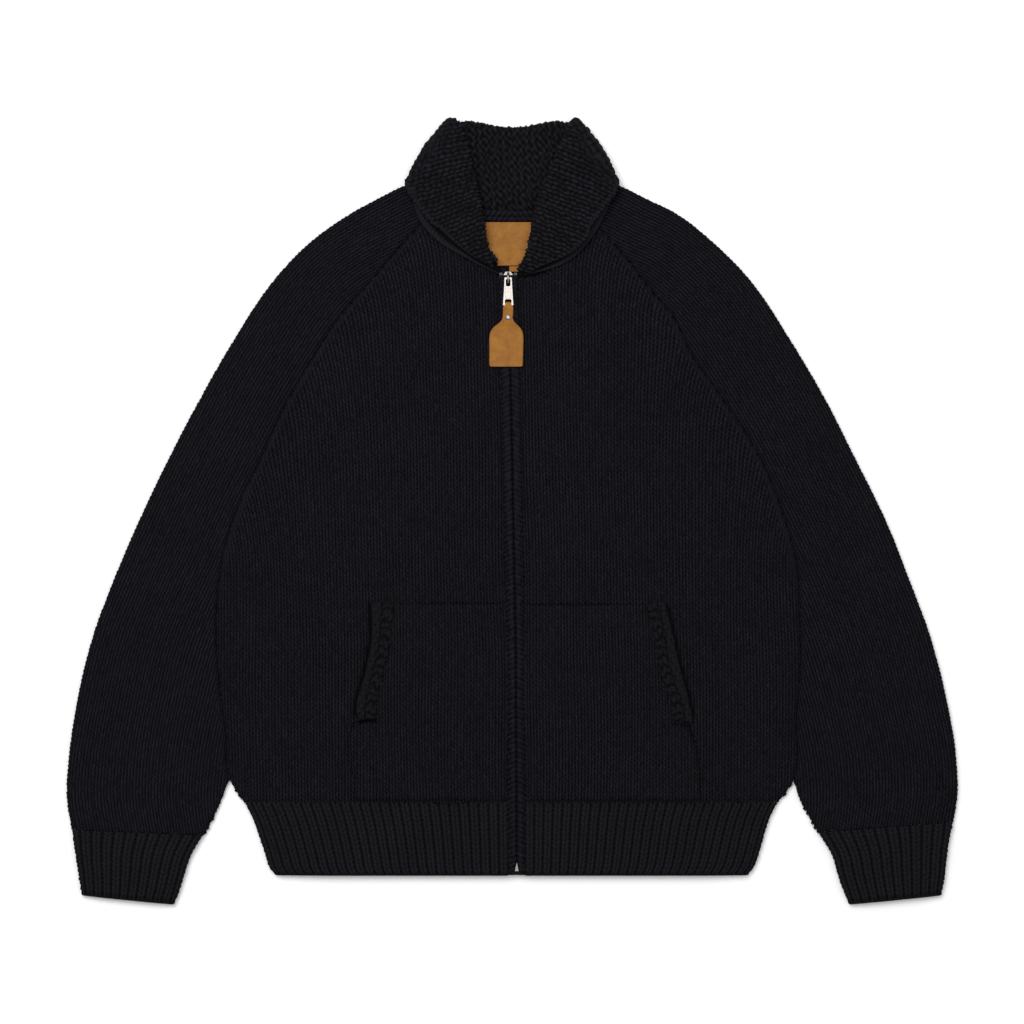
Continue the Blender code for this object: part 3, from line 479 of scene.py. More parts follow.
def body_outer(side, up):
    """The body's outer edge: side fold below, raglan seam above."""
    lines = EDGES[side]
    corner = lines["raglan"][0][1]
    return np.where(up < corner, out_at(lines["body_side"], up), out_at(lines["raglan"], up))


# Soft folds of the upper layer: start x, y, end x, y, half-width and height.
FOLDS = [
    (-36, -195, -70, -305, 16, 1.8), (-150, -60, -95, 40, 26, 1.6), (-235, 40, -175, 120, 18, 1.2),
    (120, -40, 60, 60, 24, 1.4), (215, 20, 165, 120, 20, 1.3), (250, -150, 235, -40, 22, 1.2),
    (-250, -180, -240, -60, 24, 1.2), (70, -150, 95, -290, 22, 1.2),
    (-110, 150, -60, 210, 18, 1.0), (110, 130, 70, 215, 18, 1.0),
    (225, -290, 240, -200, 18, 1.0), (-225, -300, -238, -215, 18, 1.0),
]


def fold_height(x, y):
    """Height of the soft folds at places on the garment."""
    total = np.zeros(np.broadcast(x, y).shape)
    for x0, y0, x1, y1, wide, high in FOLDS:
        dx, dy = x1 - x0, y1 - y0
        share = ((x - x0) * dx + (y - y0) * dy) / (dx * dx + dy * dy)
        away = np.hypot(x - (x0 + np.clip(share, 0, 1) * dx), y - (y0 + np.clip(share, 0, 1) * dy))
        total += 1.7 * high * bell(away, wide)
    return total


def front_height(side, out, up, inset):
    """Top of the upper body layer; inset is the distance in from the outer edge."""
    folded = folded_at(side, up)
    at_edge = RAGLAN_LIFT * (1 - folded)
    lift = at_edge + (BODY_CROWN - at_edge) * smooth(inset / CROWN_REACH)
    soft = fold_height(hand(side) * out, up) + 0.5 * waves(hand(side) * out, up, 5, 90)
    return FLAT_TOP + lift + soft * smooth(inset / 30.0)


LEAN, LEAN_REACH = 15.0, 42.0  # the wales lean outwards towards the raglan seam
LEAN_ROUNDS = 12  # steps that find the lean's own place
RAGLAN_RADIUS = 3.4  # of the cloth where it turns down into the raglan seam
BESIDE_ZIP = 8.5  # from the zip to the cloth's edge beneath the placket
FRONT_WALES, SLEEVE_WALES, BACK_WALES, POCKET_WALES = 48, 27, 96, 30
UNDER_PATCH = 14.0  # how far the front goes on beneath the edges of the pocket patch
SLIT_DEPTH = 2.6  # of the pocket's opening beside the welt


def front_place(side, q, up):
    """Places on a front: q is the distance from the zip along the cloth."""
    start = hand(side) * zip_x(up)
    edge = body_outer(side, up)
    folded = folded_at(side, up)
    radius = mix(RAGLAN_RADIUS, FOLD_Z, folded)
    total = edge - start + (math.pi / 2 - 1) * radius
    lean = LEAN * smooth((up + 60) / 120.0)
    s = total - q
    for _ in range(LEAN_ROUNDS):
        s = total - q - lean * np.exp(-np.maximum(s, 0) / LEAN_REACH)
    beyond = s <= 0
    s = np.maximum(s, 0)
    inset, turn = quarter(s, radius)
    out = edge - inset
    neck = np.interp(up, *np.array(EDGES[side]["neck_front"], float).T[::-1])
    neck = np.where(up < EDGES[side]["neck_front"][0][1], -99.0, neck - 3.0)
    past_neck = out <= neck
    out = np.maximum(out, neck)
    z = front_height(side, out, up, inset) - radius * (1 - np.sin(turn))
    beside_seam = (1 - folded) * bell(s - 8.0, 4.0)
    z = z + 1.5 * beside_seam
    from_neck = np.maximum(out - neck, 0) * 0.5
    z = z - 2.5 * fade(from_neck, 4.0) + 0.8 * bell(from_neck - 6.0, 3.0)
    z = z - 2.6 * fade(q - BESIDE_ZIP, 4.0) - 2.2 * fade(up - HEM_SEAM, 5.0)
    grid = points_of(side, out, up, z)
    return grid, beyond, past_neck, s


def front(side):
    low, high = HEM_SEAM, EDGES[side]["neck_front"][-1][1]
    courses = int((high - low) / COURSE) + 2
    u, v, relief = stitches(0, FRONT_WALES, -1, courses, 3, seed_of(side, 21))
    raw = low + v * COURSE
    up = np.clip(raw, low, high)
    q = BESIDE_ZIP + u * WALE + 0.8 * waves(u * WALE, up, 31, 120, 4)
    grid, beyond, past_neck, s = front_place(side, q, up)
    plain = (1 - folded_at(side, up)) * fade(s - 7.0, 5.0)
    relief = mix(relief, 0.62, 0.45 * plain)
    level = grid[..., 1]
    beside = grid[..., 0] * hand(side) - out_at(EDGES[side]["welt_mouth"], level)
    slit = bell(beside - 0.8, 2.0)
    slit = slit * smooth((level - WELT_FOOT + 2) / 8.0) * smooth((POCKET_TOP + 2 - level) / 8.0)
    grid[..., 2] -= SLIT_DEPTH * slit
    # painted shade: lowering the relief in the slit beside the welt mouth sinks it and darkens it
    # as the opening's shadow
    relief = relief * (1 - 0.85 * slit)
    inside = grid[..., 0] * hand(side) < out_at(EDGES[side]["welt_seam"], up) - UNDER_PATCH
    hidden = inside & (up < POCKET_TOP - UNDER_PATCH) & (up > HEM_SEAM + UNDER_PATCH)
    lost = (beyond, past_neck, raw <= low, raw >= high, hidden)
    return stitched(f"knit_front_{side}", grid, relief, lost, side == "left", f"front_{side}")


FRONTS = both(front)


# ---------------------------------------------------------------- sleeves
def sleeve_table(side):
    """Along the sleeve's outer fold: place, direction of its courses and width of both layers."""
    lines = EDGES[side]
    fold = along(lines["sleeve_outer"], 500)
    run = run_of(fold)
    tangent = unit(np.gradient(fold, axis=0))
    seam = unit(np.subtract(lines["cuff_inner"][0], lines["cuff_outer"][0]))
    inward = np.stack([-tangent[:, 1], tangent[:, 0]], axis=1)
    way = unit(mix(seam, inward, smooth(run / 160.0)[:, None]))
    side_line = dense_line(lines["body_side"])
    side_line = side_line[side_line[:, 1] > FORK]
    widths = {}
    for name in ("top", "bottom"):
        raglan = list(lines["raglan"])
        if name == "bottom":
            raglan = [p for p in raglan if p[1] < 203] + [(143, 257), (97, 319)]
        end = np.subtract(raglan[-1], raglan[-2])
        raglan = raglan + [tuple(np.add(raglan[-1], end * 1.2))]
        edge = np.concatenate([dense_line(lines["sleeve_inner"]), side_line, dense_line(raglan)])
        a, step = edge[:-1], np.diff(edge, axis=0)
        cross = way[:, None, 0] * step[None, :, 1] - way[:, None, 1] * step[None, :, 0]
        cross = np.where(np.abs(cross) < 1e-9, 1e-9, cross)
        gap = a[None] - fold[:, None]
        far = (gap[..., 0] * step[None, :, 1] - gap[..., 1] * step[None, :, 0]) / cross
        share = (gap[..., 0] * way[:, None, 1] - gap[..., 1] * way[:, None, 0]) / cross
        far = np.where((share >= -0.01) & (share <= 1.01) & (far > 1), far, 999.0).min(axis=1)
        known = far < 900
        widths[name] = np.interp(run, run[known], far[known])
    return run, fold, way, widths


def sleeve(side):
    run, fold, way, widths = sleeve_table(side)
    courses = int(run[-1] / COURSE) + 2
    u, v, relief = stitches(-SLEEVE_WALES, 2 * SLEEVE_WALES, -1, courses, 2, seed_of(side, 41))
    raw = v * COURSE
    s = np.clip(raw, 0, run[-1])
    t = u * WALE + 0.9 * waves(s, u * WALE, 51, 150, 4)
    start, toward = at_run(s, run, fold), at_run(s, run, way)
    upper = t >= 0
    width = np.where(upper, np.interp(s, run, widths["top"]), np.interp(s, run, widths["bottom"]))
    hit = start[..., 1] + toward[..., 1] * width
    folded = folded_at(side, hit)
    width = width + np.where(hit > -290, 1.5 * smooth((hit + 292) / 12.0), 0.0)
    outer, inner = FOLD_Z, mix(RAGLAN_RADIUS, FOLD_Z, folded)
    total = width + (math.pi / 2 - 1) * (outer + inner)
    a = np.abs(t)
    beyond = a >= total
    a = np.minimum(a, total)
    d, first = quarter(a, outer)
    from_inner, last = quarter(total - a, inner)
    d = np.where(total - a < math.pi / 2 * inner, width - from_inner, d)
    e = RAGLAN_LIFT * (1 - folded)
    lift = (e + (SLEEVE_CROWN - e) * smooth((width - d) / CROWN_REACH)) * smooth(d / 40.0)
    lift = lift - 2.2 * (1 - folded) * fade(width - d, 26.0)
    x, y = np.moveaxis(start + toward * d[..., None], -1, 0)
    soft = 0.8 * waves(hand(side) * x, y, 61, 110) * smooth(d / 40.0) * smooth((width - d) / 30.0)
    top = FLAT_TOP + lift + soft
    high = FOLD_Z + (top - FOLD_Z) * np.sin(first) - inner * (1 - np.sin(last))
    low = FOLD_Z * (1 - np.sin(first)) + FOLD_Z * (1 - np.sin(last))
    z = np.where(upper, high, low)
    z = z + (FOLD_Z - z) * 0.25 * np.exp(-s / 4.0)
    grid = points_of(side, x, y, z)
    lost = (beyond, raw <= 0, raw >= run[-1])
    return stitched(f"knit_sleeve_{side}", grid, relief, lost, side == "right", f"sleeve_{side}")


SLEEVES = both(sleeve)


# ---------------------------------------------------------------- the back
def back():
    """The back panel, seen from beneath: flat on the ground, its edges turned up."""
    low, high = HEM_SEAM, 319.0
    courses = int((high - low) / COURSE) + 2
    u, v, relief = stitches(-BACK_WALES // 2, BACK_WALES, -1, courses, 2, 71)
    raw = low + v * COURSE
    up = np.clip(raw, low, high)
    x = u * WALE
    grids = []
    for side in SIDES:
        corner = EDGES[side]["raglan"][0][1]
        raglan = [p for p in EDGES[side]["raglan"] if p[1] < 210] + [(145, 252), (97, 319)]
        edge = np.where(up < corner, out_at(EDGES[side]["body_side"], up), out_at(raglan, up))
        total = edge + (math.pi / 2 - 1) * FOLD_Z
        s = total - hand(side) * x
        beyond = s <= 0
        s = np.maximum(s, 0)
        inset, turn = quarter(s, FOLD_Z)
        grids.append((hand(side) * (edge - inset), FOLD_Z * (1 - np.sin(turn)), beyond))
    left, right = grids
    place = np.where(x < 0, left[0], right[0])
    z = np.where(x < 0, left[1], right[1])
    neck = back_neck(place)
    past = up >= neck
    up = np.minimum(up, neck)
    grid = np.stack([place, up, z], axis=-1)
    lost = (left[2] & (x < 0), right[2] & (x > 0), past, raw <= low)
    return stitched("knit_back", grid, relief, lost, True, "back_panel")


BACK = back()


# ---------------------------------------------------------------- ribs
RIB_RELIEF = np.array([[0.0, 0.50, 0.70, 0.20, 0.70, 0.50], [0.10, 0.78, 1.0, 0.50, 1.0, 0.78],
                       [0.08, 0.72, 0.95, 0.42, 0.95, 0.72]])
RIB_DEPTH = 3.4
ROLL = 2.0  # half the thickness of the cloth, where its end turns in
HEM_SIDE_RIBS, CUFF_RIBS = 27, 24
HEM_INSIDE, CUFF_INSIDE = 16.0, 18.0  # how far the cloth is drawn in past its end
HEM_BESIDE_ZIP, CUFF_RADIUS, CUFF_CROWN = 9.0, 4.9, 2.3


def rib_rows(length, inside):
    """Rows of a band from inside its end round to its face: way up from the end, depth, course."""
    turns = [math.pi * 0.75, math.pi * 0.5, math.pi * 0.25]
    steps = int(round(length / COURSE)) * 3
    way = [inside, inside / 2, 0.0] + [-ROLL * math.sin(a) for a in turns]
    depth = [2 * ROLL] * 3 + [ROLL * (1 - math.cos(a)) for a in turns]
    way = np.concatenate([way, np.linspace(0, length, steps + 1)])
    depth = np.concatenate([depth, np.zeros(steps + 1)])
    course = np.concatenate([[0, 1, 2, 1, 1, 2], np.arange(steps + 1) % 3])
    return way, depth, course


def rib_grid(ribs, rows, seed, ring=False):
    """Rib number, way along the band, depth and relief of a grid of ribs with 6 columns each."""
    way, depth, course = rows
    sixth = np.arange(ribs * 6 + (0 if ring else 1))
    draw = np.random.default_rng(seed)
    relief = RIB_RELIEF[course][:, sixth % 6]
    relief = relief * (1 + 0.10 * draw.normal(0, 1, relief.shape))
    face = (depth == 0)[:, None]
    rise = 0.8 * COURSE * np.minimum(np.abs(sixth % 6 / 3.0 - 1), 0.67) * face
    rho = sixth / 6.0 + draw.normal(0, 0.018, relief.shape)
    sunk = depth[:, None] + (1 - relief) * RIB_DEPTH * np.where(face, 1.0, 0.35)
    # painted shade: the rows turned in past the band's end keep 0.6 of their relief, so they are
    # darker inside the opening
    return rho, way[:, None] + rise, sunk, relief * np.where(face, 1.0, 0.6)


def hem():
    """The rib below the body: from the left placket, round the back, to the right placket."""
    side_ribs = HEM_SIDE_RIBS
    rows = rib_rows(HEM_SEAM - HEM_EDGE - ROLL, HEM_INSIDE)
    rho, way, sunk, relief = rib_grid(4 * side_ribs, rows, 81)
    up = np.minimum(HEM_EDGE + ROLL + way, HEM_SEAM + 1.5)
    flat = np.clip(up, HEM_EDGE + ROLL, HEM_SEAM)
    edges = {side: out_at(EDGES[side]["hem_side"], flat) for side in SIDES}
    x, z = np.zeros(rho.shape), np.zeros(rho.shape)
    for side in SIDES:
        here = rho <= side_ribs if side == "left" else rho > 3 * side_ribs
        share = (side_ribs - rho if side == "left" else rho - 3 * side_ribs) / side_ribs
        start = hand(side) * zip_x(flat) + HEM_BESIDE_ZIP
        total = edges[side] - start + (math.pi / 2 - 1) * FOLD_Z
        inset, turn = quarter(np.maximum(total * share, 0), FOLD_Z)
        lift = BODY_CROWN * smooth(inset / CROWN_REACH) + 1.8 * smooth(inset / 8.0)
        x = np.where(here, hand(side) * (edges[side] - inset), x)
        z = np.where(here, FOLD_Z + (FLAT_TOP + lift - FOLD_Z) * np.sin(turn), z)
    wide = edges["left"] + edges["right"] + (math.pi - 2) * FOLD_Z
    place = np.clip((rho - side_ribs) / (2 * side_ribs), 0, 1) * wide
    inset, turn = quarter(np.minimum(place, wide - place), FOLD_Z)
    under = (rho > side_ribs) & (rho <= 3 * side_ribs)
    beneath = np.where(place < wide / 2, inset - edges["left"], edges["right"] - inset)
    x = np.where(under, beneath, x)
    z = np.where(under, FOLD_Z * (1 - np.sin(turn)), z)
    z = z + (FOLD_Z - z) * 0.30 * np.exp(-(HEM_SEAM - flat) / 2.5)
    grid = np.stack([x, up, z], axis=-1)
    across = np.gradient(grid, axis=1)
    across[..., 1] = 0
    normal = outwards(np.broadcast_to((0.0, 1.0, 0.0), across.shape), across)
    return banded("rib_hem", grid - normal * sunk[..., None], relief, True, WOOL_RIB, "wool_rib",
                  "hem_front_left", "hem_back", "hem_front_right")


def cuff(side):
    """A ribbed tube below the sleeve."""
    lines = {name: dense_line(EDGES[side][name]) for name in ("cuff_outer", "cuff_inner")}
    length = run_of(lines["cuff_outer"])[-1]
    rho, way, sunk, relief = rib_grid(CUFF_RIBS, rib_rows(length - ROLL, CUFF_INSIDE),
                                      seed_of(side, 91), True)
    share = np.clip(1 - (way + ROLL) / length, 0, 1)
    ends = {}
    for name, line in lines.items():
        run = run_of(line)
        ends[name] = at_run(share * run[-1], run, line)
    outer, inner = ends["cuff_outer"], ends["cuff_inner"]
    width = np.linalg.norm(inner - outer, axis=-1)
    radius = CUFF_RADIUS
    total = width + (math.pi - 2) * radius
    turn_round = (rho % CUFF_RIBS) / CUFF_RIBS * 2
    s = np.where(turn_round < 1, turn_round, 2 - turn_round) * total
    inset, turn = quarter(np.minimum(s, total - s), radius)
    d = np.where(s < total / 2, inset, width - inset)
    lift = CUFF_CROWN * smooth(inset / 30.0) * smooth((width - inset) / 30.0)
    above = radius + (radius + lift) * np.sin(turn)
    z = np.where(turn_round < 1, above, radius * (1 - np.sin(turn)))
    z = z + (5.0 - z) * 0.28 * np.exp(-share * length / 3.5)
    plan = outer + (inner - outer) * (d / width)[..., None]
    plan[..., 1] -= np.maximum(-way, 0)
    grid = points_of(side, plan[..., 0], plan[..., 1], z)
    closed = np.concatenate([grid[:, -1:], grid, grid[:, :1]], axis=1)
    across = np.gradient(closed, axis=1)[:, 1:-1]
    along_way = np.stack([hand(side) * -0.1 + 0 * z, 1 + 0 * z, 0 * z], axis=-1)
    normal = outwards(across, along_way) * hand(side)
    return banded(f"rib_cuff_{side}", grid + normal * sunk[..., None], relief, side == "right",
                  WOOL_RIB, "wool_rib", f"cuff_{side}", ring=True)


HEM = hem()
CUFFS = both(cuff)


# ---------------------------------------------------------------- collar
FRONT_STATIONS, BACK_STATIONS, TURN_STEPS, ROLL_STEPS = 10, 6, 5, 4
STAND_SHARES, STAND_RISE = (0, 0.09, 0.18, 0.45, 0.75, 1), (0, 0.5, 1, 1, 1, 1)
FALL_SHARES = (0, 0.3, 0.6, 0.85, 1)
COLLAR_WALL = 4.6
Z_SEAM_ZIP, Z_SEAM_SIDE, Z_ROLL_ZIP, Z_STAND_FRONT = 9.5, 8.5, 10.2, 16.1
Z_FREE_ZIP, Z_FREE_SIDE, Z_FALL_BACK, Z_STAND_BACK, LEVEL_GAP = 14.8, 21.5, 2.3, 7.9, 5.6
SIDE_WAY, SIDE_BULGE = np.array((0.806, 0.592)), 5.0
LAPELS_MEET, LAPEL_ANGLES = -2.0, np.radians((17, -22))  # the ridges slope down to the zip
YARN_PITCH, YARN_SLANT = 4.9, math.radians(35)  # the crossed yarns of the stand
EDGE_KNOT = 4.6  # length of a knot along the free edge
RIDGE_DEPTH, EDGE_ROUND = 2.9, 2.2  # depth of the relief; where the free edge starts to round
ROW_STEP, COLUMN_STEP = 1.3, 1.25  # between points up the collar and along it


def collar_rows(side):
    """Rows of one half of the collar's middle surface, from the neck seam up the stand, over the
    roll and down the fall; each runs from the zip round the side to the middle of the back."""
    front = {key: along(line, FRONT_STATIONS) for key, line in COLLAR[side].items()}
    back = {key: along(line, BACK_STATIONS) for key, line in COLLAR_BACK.items()}
    steps = np.linspace(0, 1, FRONT_STATIONS)
    seam_z = mix(Z_SEAM_ZIP, Z_SEAM_SIDE, steps)
    roll_z = mix(Z_ROLL_ZIP, Z_STAND_FRONT, smooth(steps * 3.2))
    free_z = mix(Z_FREE_ZIP, Z_FREE_SIDE, steps**0.6)

    def ring(front_line, front_z, back_line, back_z, bulge):
        points = [(*p, z) for p, z in zip(front_line, front_z)]
        radius, middle = (front_z[-1] - back_z) / 2, (front_z[-1] + back_z) / 2
        for step in range(1, TURN_STEPS):
            angle = math.pi * (0.5 - step / TURN_STEPS)
            plan = mix(front_line[-1], back_line[0], step / TURN_STEPS)
            plan = plan + SIDE_WAY * (radius + bulge) * math.cos(angle)
            points.append((*plan, middle + radius * math.sin(angle)))
        points += [(*p, back_z) for p in back_line]
        return np.array(points)

    rows = []
    for share, rise in zip(STAND_SHARES, STAND_RISE):
        eager = mix(share, rise, smooth(steps))
        rows.append(ring(mix(front["seam"], front["roll"], share),
                         seam_z + (roll_z - seam_z) * eager,
                         mix(back["seam"], back["roll"], share),
                         mix(Z_FALL_BACK, Z_STAND_BACK, rise), 0.0))
    falls = [ring(mix(front["roll"], front["free"], share),
                  mix(roll_z + LEVEL_GAP, free_z, share),
                  mix(back["roll"], back["free"], share), Z_FALL_BACK,
                  SIDE_BULGE * math.sin(math.pi * share)) for share in FALL_SHARES]
    low, high = rows[-1], falls[0]
    middle, half = (low + high) / 2, (high - low) / 2
    size = np.linalg.norm(half, axis=1)[:, None]
    up_way = unit(np.cross(np.gradient(middle, axis=0), half))
    up_way *= np.sign(np.sum(up_way * (middle - (rows[0] + falls[-1]) / 2), axis=1))[:, None]
    for step in range(1, ROLL_STEPS):
        angle = math.pi * step / ROLL_STEPS
        rows.append(middle - half * math.cos(angle) + up_way * size * math.sin(angle))
    return np.array([*rows, *falls]) * (hand(side), 1, 1)


def refined(grid, spacing, near_end=()):
    """The grid resampled along its first axis by a smooth line, at about this spacing.

    near_end adds rows at these distances before the last one.
    """
    chord = np.linalg.norm(np.diff(grid, axis=0), axis=2).mean(axis=1)
    run = np.concatenate([[0], np.cumsum(chord)])
    at = np.linspace(0, run[-1], int(run[-1] / spacing) + 1)
    if near_end:
        at = np.concatenate([at[at < run[-1] - near_end[0] - 0.4 * spacing],
                             run[-1] - np.array(near_end)])
    slope = np.gradient(grid, run, axis=0)
    k = np.clip(np.searchsorted(run, at, side="right") - 1, 0, len(run) - 2)
    step = (run[k + 1] - run[k])[:, None, None]
    t = ((at - run[k])[:, None, None]) / step
    return spline(t, grid[k], grid[k + 1], step, slope[k], slope[k + 1]), at


def ridges(a, b, pitch, bead, seed):
    """Relief of ridged (garter) stitch: every ridge is two rows of bumps along a, the bumps of
    one row between those of the other, and a narrow valley before the next ridge."""
    draw = np.random.default_rng(seed).uniform(0, 1, 997)
    row = np.floor(2 * b / pitch).astype(int)
    ridge = row // 2
    place = a / bead + draw[(ridge * 7) % 997] + 0.5 * (row % 2)
    bump = np.floor(place).astype(int)
    sideways = 2 * (place - bump) - 1
    level = 2 * (2 * b / pitch - row) - 1 + np.where(row % 2, -0.4, 0.4) * (1 - 2 * sideways**2)
    shape = np.clip(1.30 - 0.95 * sideways**2 - 0.85 * level**2, 0, 1)
    valley = (0.5 + 0.5 * np.cos(2 * math.pi * (b / pitch - 0.5))) ** 0.4
    size = 0.68 + 0.50 * draw[(bump * 13 + row * 31) % 997]
    return shape * (0.10 + 0.90 * valley) * size


def collar_relief(grid, way, place):
    """Relief of the collar: ridges on the lapels and the fall, crossed yarns on the stand."""
    x, y = grid[..., 0], grid[..., 1]
    angle = np.where(x < LAPELS_MEET, *LAPEL_ANGLES)
    along_ridge = x * np.cos(angle) + y * np.sin(angle)
    across_ridge = y * np.cos(angle) - x * np.sin(angle)
    wobble = 1.0 * waves(x, y, 101, 60) + 0.5 * waves(x, y, 106, 16)
    along_ridge = along_ridge + 1.0 * waves(x, y, 102, 18)
    lapel = ridges(along_ridge, across_ridge + wobble, 8.8, 6.6, 103) ** 1.15
    middle = (place - place[-1] / 2)[None, :]
    fall = ridges(way[:, None] + 0 * middle, middle + 0 * way[:, None] + wobble, 8.6, 6.2, 104)
    x_bent, y_bent = x + 0.9 * waves(x, y, 107, 13), y + 0.9 * waves(x, y, 108, 13)
    over, up = x_bent * math.cos(YARN_SLANT), y_bent * math.sin(YARN_SLANT)
    crossed = sum(np.cos(math.tau * place / YARN_PITCH) for place in (over + up, over - up))
    lattice = 0.34 + 0.18 * crossed + 0.16 * waves(x, y, 105, 7)
    front_part = smooth((np.abs(middle) / place[-1] * 2 - 0.36) / 0.10)
    is_stand = smooth((way[-1] * 0.5 - way + 12.0) / 12.0)[:, None]
    back_part = mix(fall, lattice, is_stand * np.ones_like(x))
    return mix(back_part, lapel, front_part * np.ones_like(x))


def shell_faces(rows, columns):
    """Quads of a face, of a rear whose points follow the face's, and of the four edges."""
    sheet, far, last = grid_faces(rows, columns), rows * columns, (rows - 1) * columns
    j = np.arange(columns - 1)
    i = np.arange(rows - 1) * columns
    edges = [(j + 1, j), (j + last, j + 1 + last), (i, i + columns),
             (i + 2 * columns - 1, i + columns - 1)]
    walls = [np.stack([a, b, b + far, a + far], axis=-1)[:, ::-1] for a, b in edges]
    return np.concatenate([sheet[:, ::-1], sheet + far, *walls])


def collar():
    """The whole collar, a cloth with two faces."""
    halves = both(collar_rows)
    whole = np.concatenate([halves["left"], halves["right"][:, ::-1][:, 1:]], axis=1)
    rows, way = refined(whole, ROW_STEP, (EDGE_ROUND, 1.5, 0.8, 0.25, 0.0))
    dense, place = refined(np.swapaxes(rows, 0, 1), COLUMN_STEP)
    grid = np.swapaxes(dense, 0, 1)
    normal = np.cross(np.gradient(grid, axis=0), np.gradient(grid, axis=1))
    away = grid[int(len(way) * 0.4)] - grid[0]
    away[:, 2] = 0
    away = unit(away)
    flat = normal - away * np.sum(normal * away, axis=2)[..., None]
    normal = -unit(mix(normal, flat, smooth(1 - way / 4.0)[:, None, None]))
    to_end = way[-1] - way
    from_round = np.clip(1 - to_end / EDGE_ROUND, 0, 1)
    half = COLLAR_WALL / 2 * np.sqrt(np.clip(1 - from_round**2, 0, 1))
    edge = bell(to_end - 2.6, 1.5)[:, None]
    knot = np.cos(math.tau * place / EDGE_KNOT)[None, :]
    relief = mix(collar_relief(grid, way, place), 0.62 + 0.28 * knot, 0.8 * edge)
    relief = np.clip(relief, 0, 1.3)
    sink = (1 - relief) * RIDGE_DEPTH - 0.7 * edge
    sink = sink * smooth(to_end / 1.2)[:, None] * smooth(way / 5.0)[:, None]
    face = grid + normal * (half[:, None] - sink)[..., None]
    rear = grid - normal * half[:, None, None]
    # painted shade: the rear face is darkened further up the stand, where it lies under the fall's
    # overhang
    painted_overhang_shade = mix(0.72, 0.16, smooth((way - 4.5) / 5.0))[:, None] * (0.85 + 0.15 * knot)
    points = np.concatenate([face.reshape(-1, 3), rear.reshape(-1, 3)])
    shade = np.concatenate([relief.ravel(), painted_overhang_shade.ravel()])
    return knitted("ridged_collar", points, shell_faces(*grid.shape[:2]), WOOL_COLLAR,
                   "wool_collar", "collar", relief=shade)


COLLAR_PIECE = collar()


# ---------------------------------------------------------------- bands and patches on the fronts
# Sections of the bands: share across and drop from the top, at each column of points.
PLACKET = [(0, 5.2), (0, 2.6), (0.04, 1.0), (0.12, 0.3), (0.22, 0), (0.32, 0), (0.42, 0),
           (0.52, 0.1), (0.62, 0.3), (0.72, 0.6), (0.82, 1.0), (0.91, 1.5), (1, 2.3),
           (1.03, 3.6), (1.03, 5.2)]
WELT = [(0, 3.4), (0, 1.8), (0.04, 0.6), (0.10, 0.1), (0.17, 0), (0.24, 0), (0.31, 0), (0.38, 0),
        (0.45, 0), (0.52, 0), (0.59, 0), (0.66, 0), (0.73, 0), (0.80, 0), (0.87, 0.2),
        (0.94, 0.9), (0.98, 2.0), (1, 4.0), (1, 5.6)]
TAPE = [(0, 0.8), (0, 0.25), (0.03, 0), (0.12, 0), (0.24, 0), (0.36, 0), (0.48, 0), (0.6, 0),
        (0.72, 0), (0.84, 0), (0.96, 0), (1, 0.25), (1, 0.8)]
CHAIN = 10.4  # length of two of the placket's chain stitches
PLACKET_WIDTH, PLACKET_TOP, WELT_TOP = 10.1, 13.6, 4.1
BOX_FOOT, BOX_HEAD = -377.5, -365.0  # the plackets part round the zip's box
POCKET_LAYER = 4.6  # how much higher the front lies where the pocket is sewn on the hem


def band(section, up):
    """Height along a band, share across it and drop of its top, as grids."""
    return np.broadcast_arrays(up[:, None], *np.array(section, float).T[:, None])


def placket(side):
    """A placket: a padded band of large chain stitches beside the zip."""
    low, high, step = HEM_EDGE + 0.6, 249.0, 1.5
    up, across, drop = band(PLACKET, np.arange(low, high + step / 2, step))
    draw = np.random.default_rng(seed_of(side, 111))
    parted = np.clip((BOX_HEAD - up) / 11.0, 0, 1) * 2.3 * (up > BOX_FOOT)
    beat = math.tau * (up - low) / CHAIN
    wide = mix(0.52, 0.84, smooth((up + 70) / 130))
    wave = 0.5 * np.cos(beat + (0 if side == "left" else 0.8)) * fade(up + 70, 130)
    out = hand(side) * zip_x(up) + PLACKET_WIDTH * across + 0.15 * draw.normal(0, 1, up.shape)
    out = out + np.where(across < 0.01, -0.35, 0.0) + parted * (1 - across)
    out = out + wave * np.sin(math.pi * np.clip(across, 0, 1))
    strand = 0.52 - 0.20 * np.cos(beat * 2 + 5 * across) + 0.12 * waves(out, up, 114, 9)
    hooks = 0.32 + 0.28 * np.cos(beat * 2 + 9 * across) + 0.16 * waves(out, up, 115, 6)
    relief = mix(strand, hooks, smooth((across - wide) / 0.12 + 0.5))
    # painted shade: the edge by the zip, where the band turns down into the gap, is darkened along
    # its length and in spots at each chain stitch
    blob = (0.5 + 0.5 * np.cos(beat * 2)) * bell(across, 0.14)
    relief = np.clip(relief - 0.6 * blob - 0.3 * (across < 0.05), 0.02, 1)
    z = PLACKET_TOP - drop - 1.6 * (1 - relief) + 0.3 * waves(out, up, 113, 60)
    z = z - 2.4 * fade(up - low, 4.0)
    grid = points_of(side, out, up, z)
    return banded(f"chain_placket_{side}", grid, relief, side == "left", WOOL, "wool",
                  f"placket_{side}")


def pocket_outline(side, up):
    """Outer edge of a pocket patch: the slanted welt seam above, the pocket's side below."""
    lines = EDGES[side]
    foot = lines["welt_seam"][0][1]
    return np.where(up > foot, out_at(lines["welt_seam"], up), out_at(lines["pocket_side"], up))


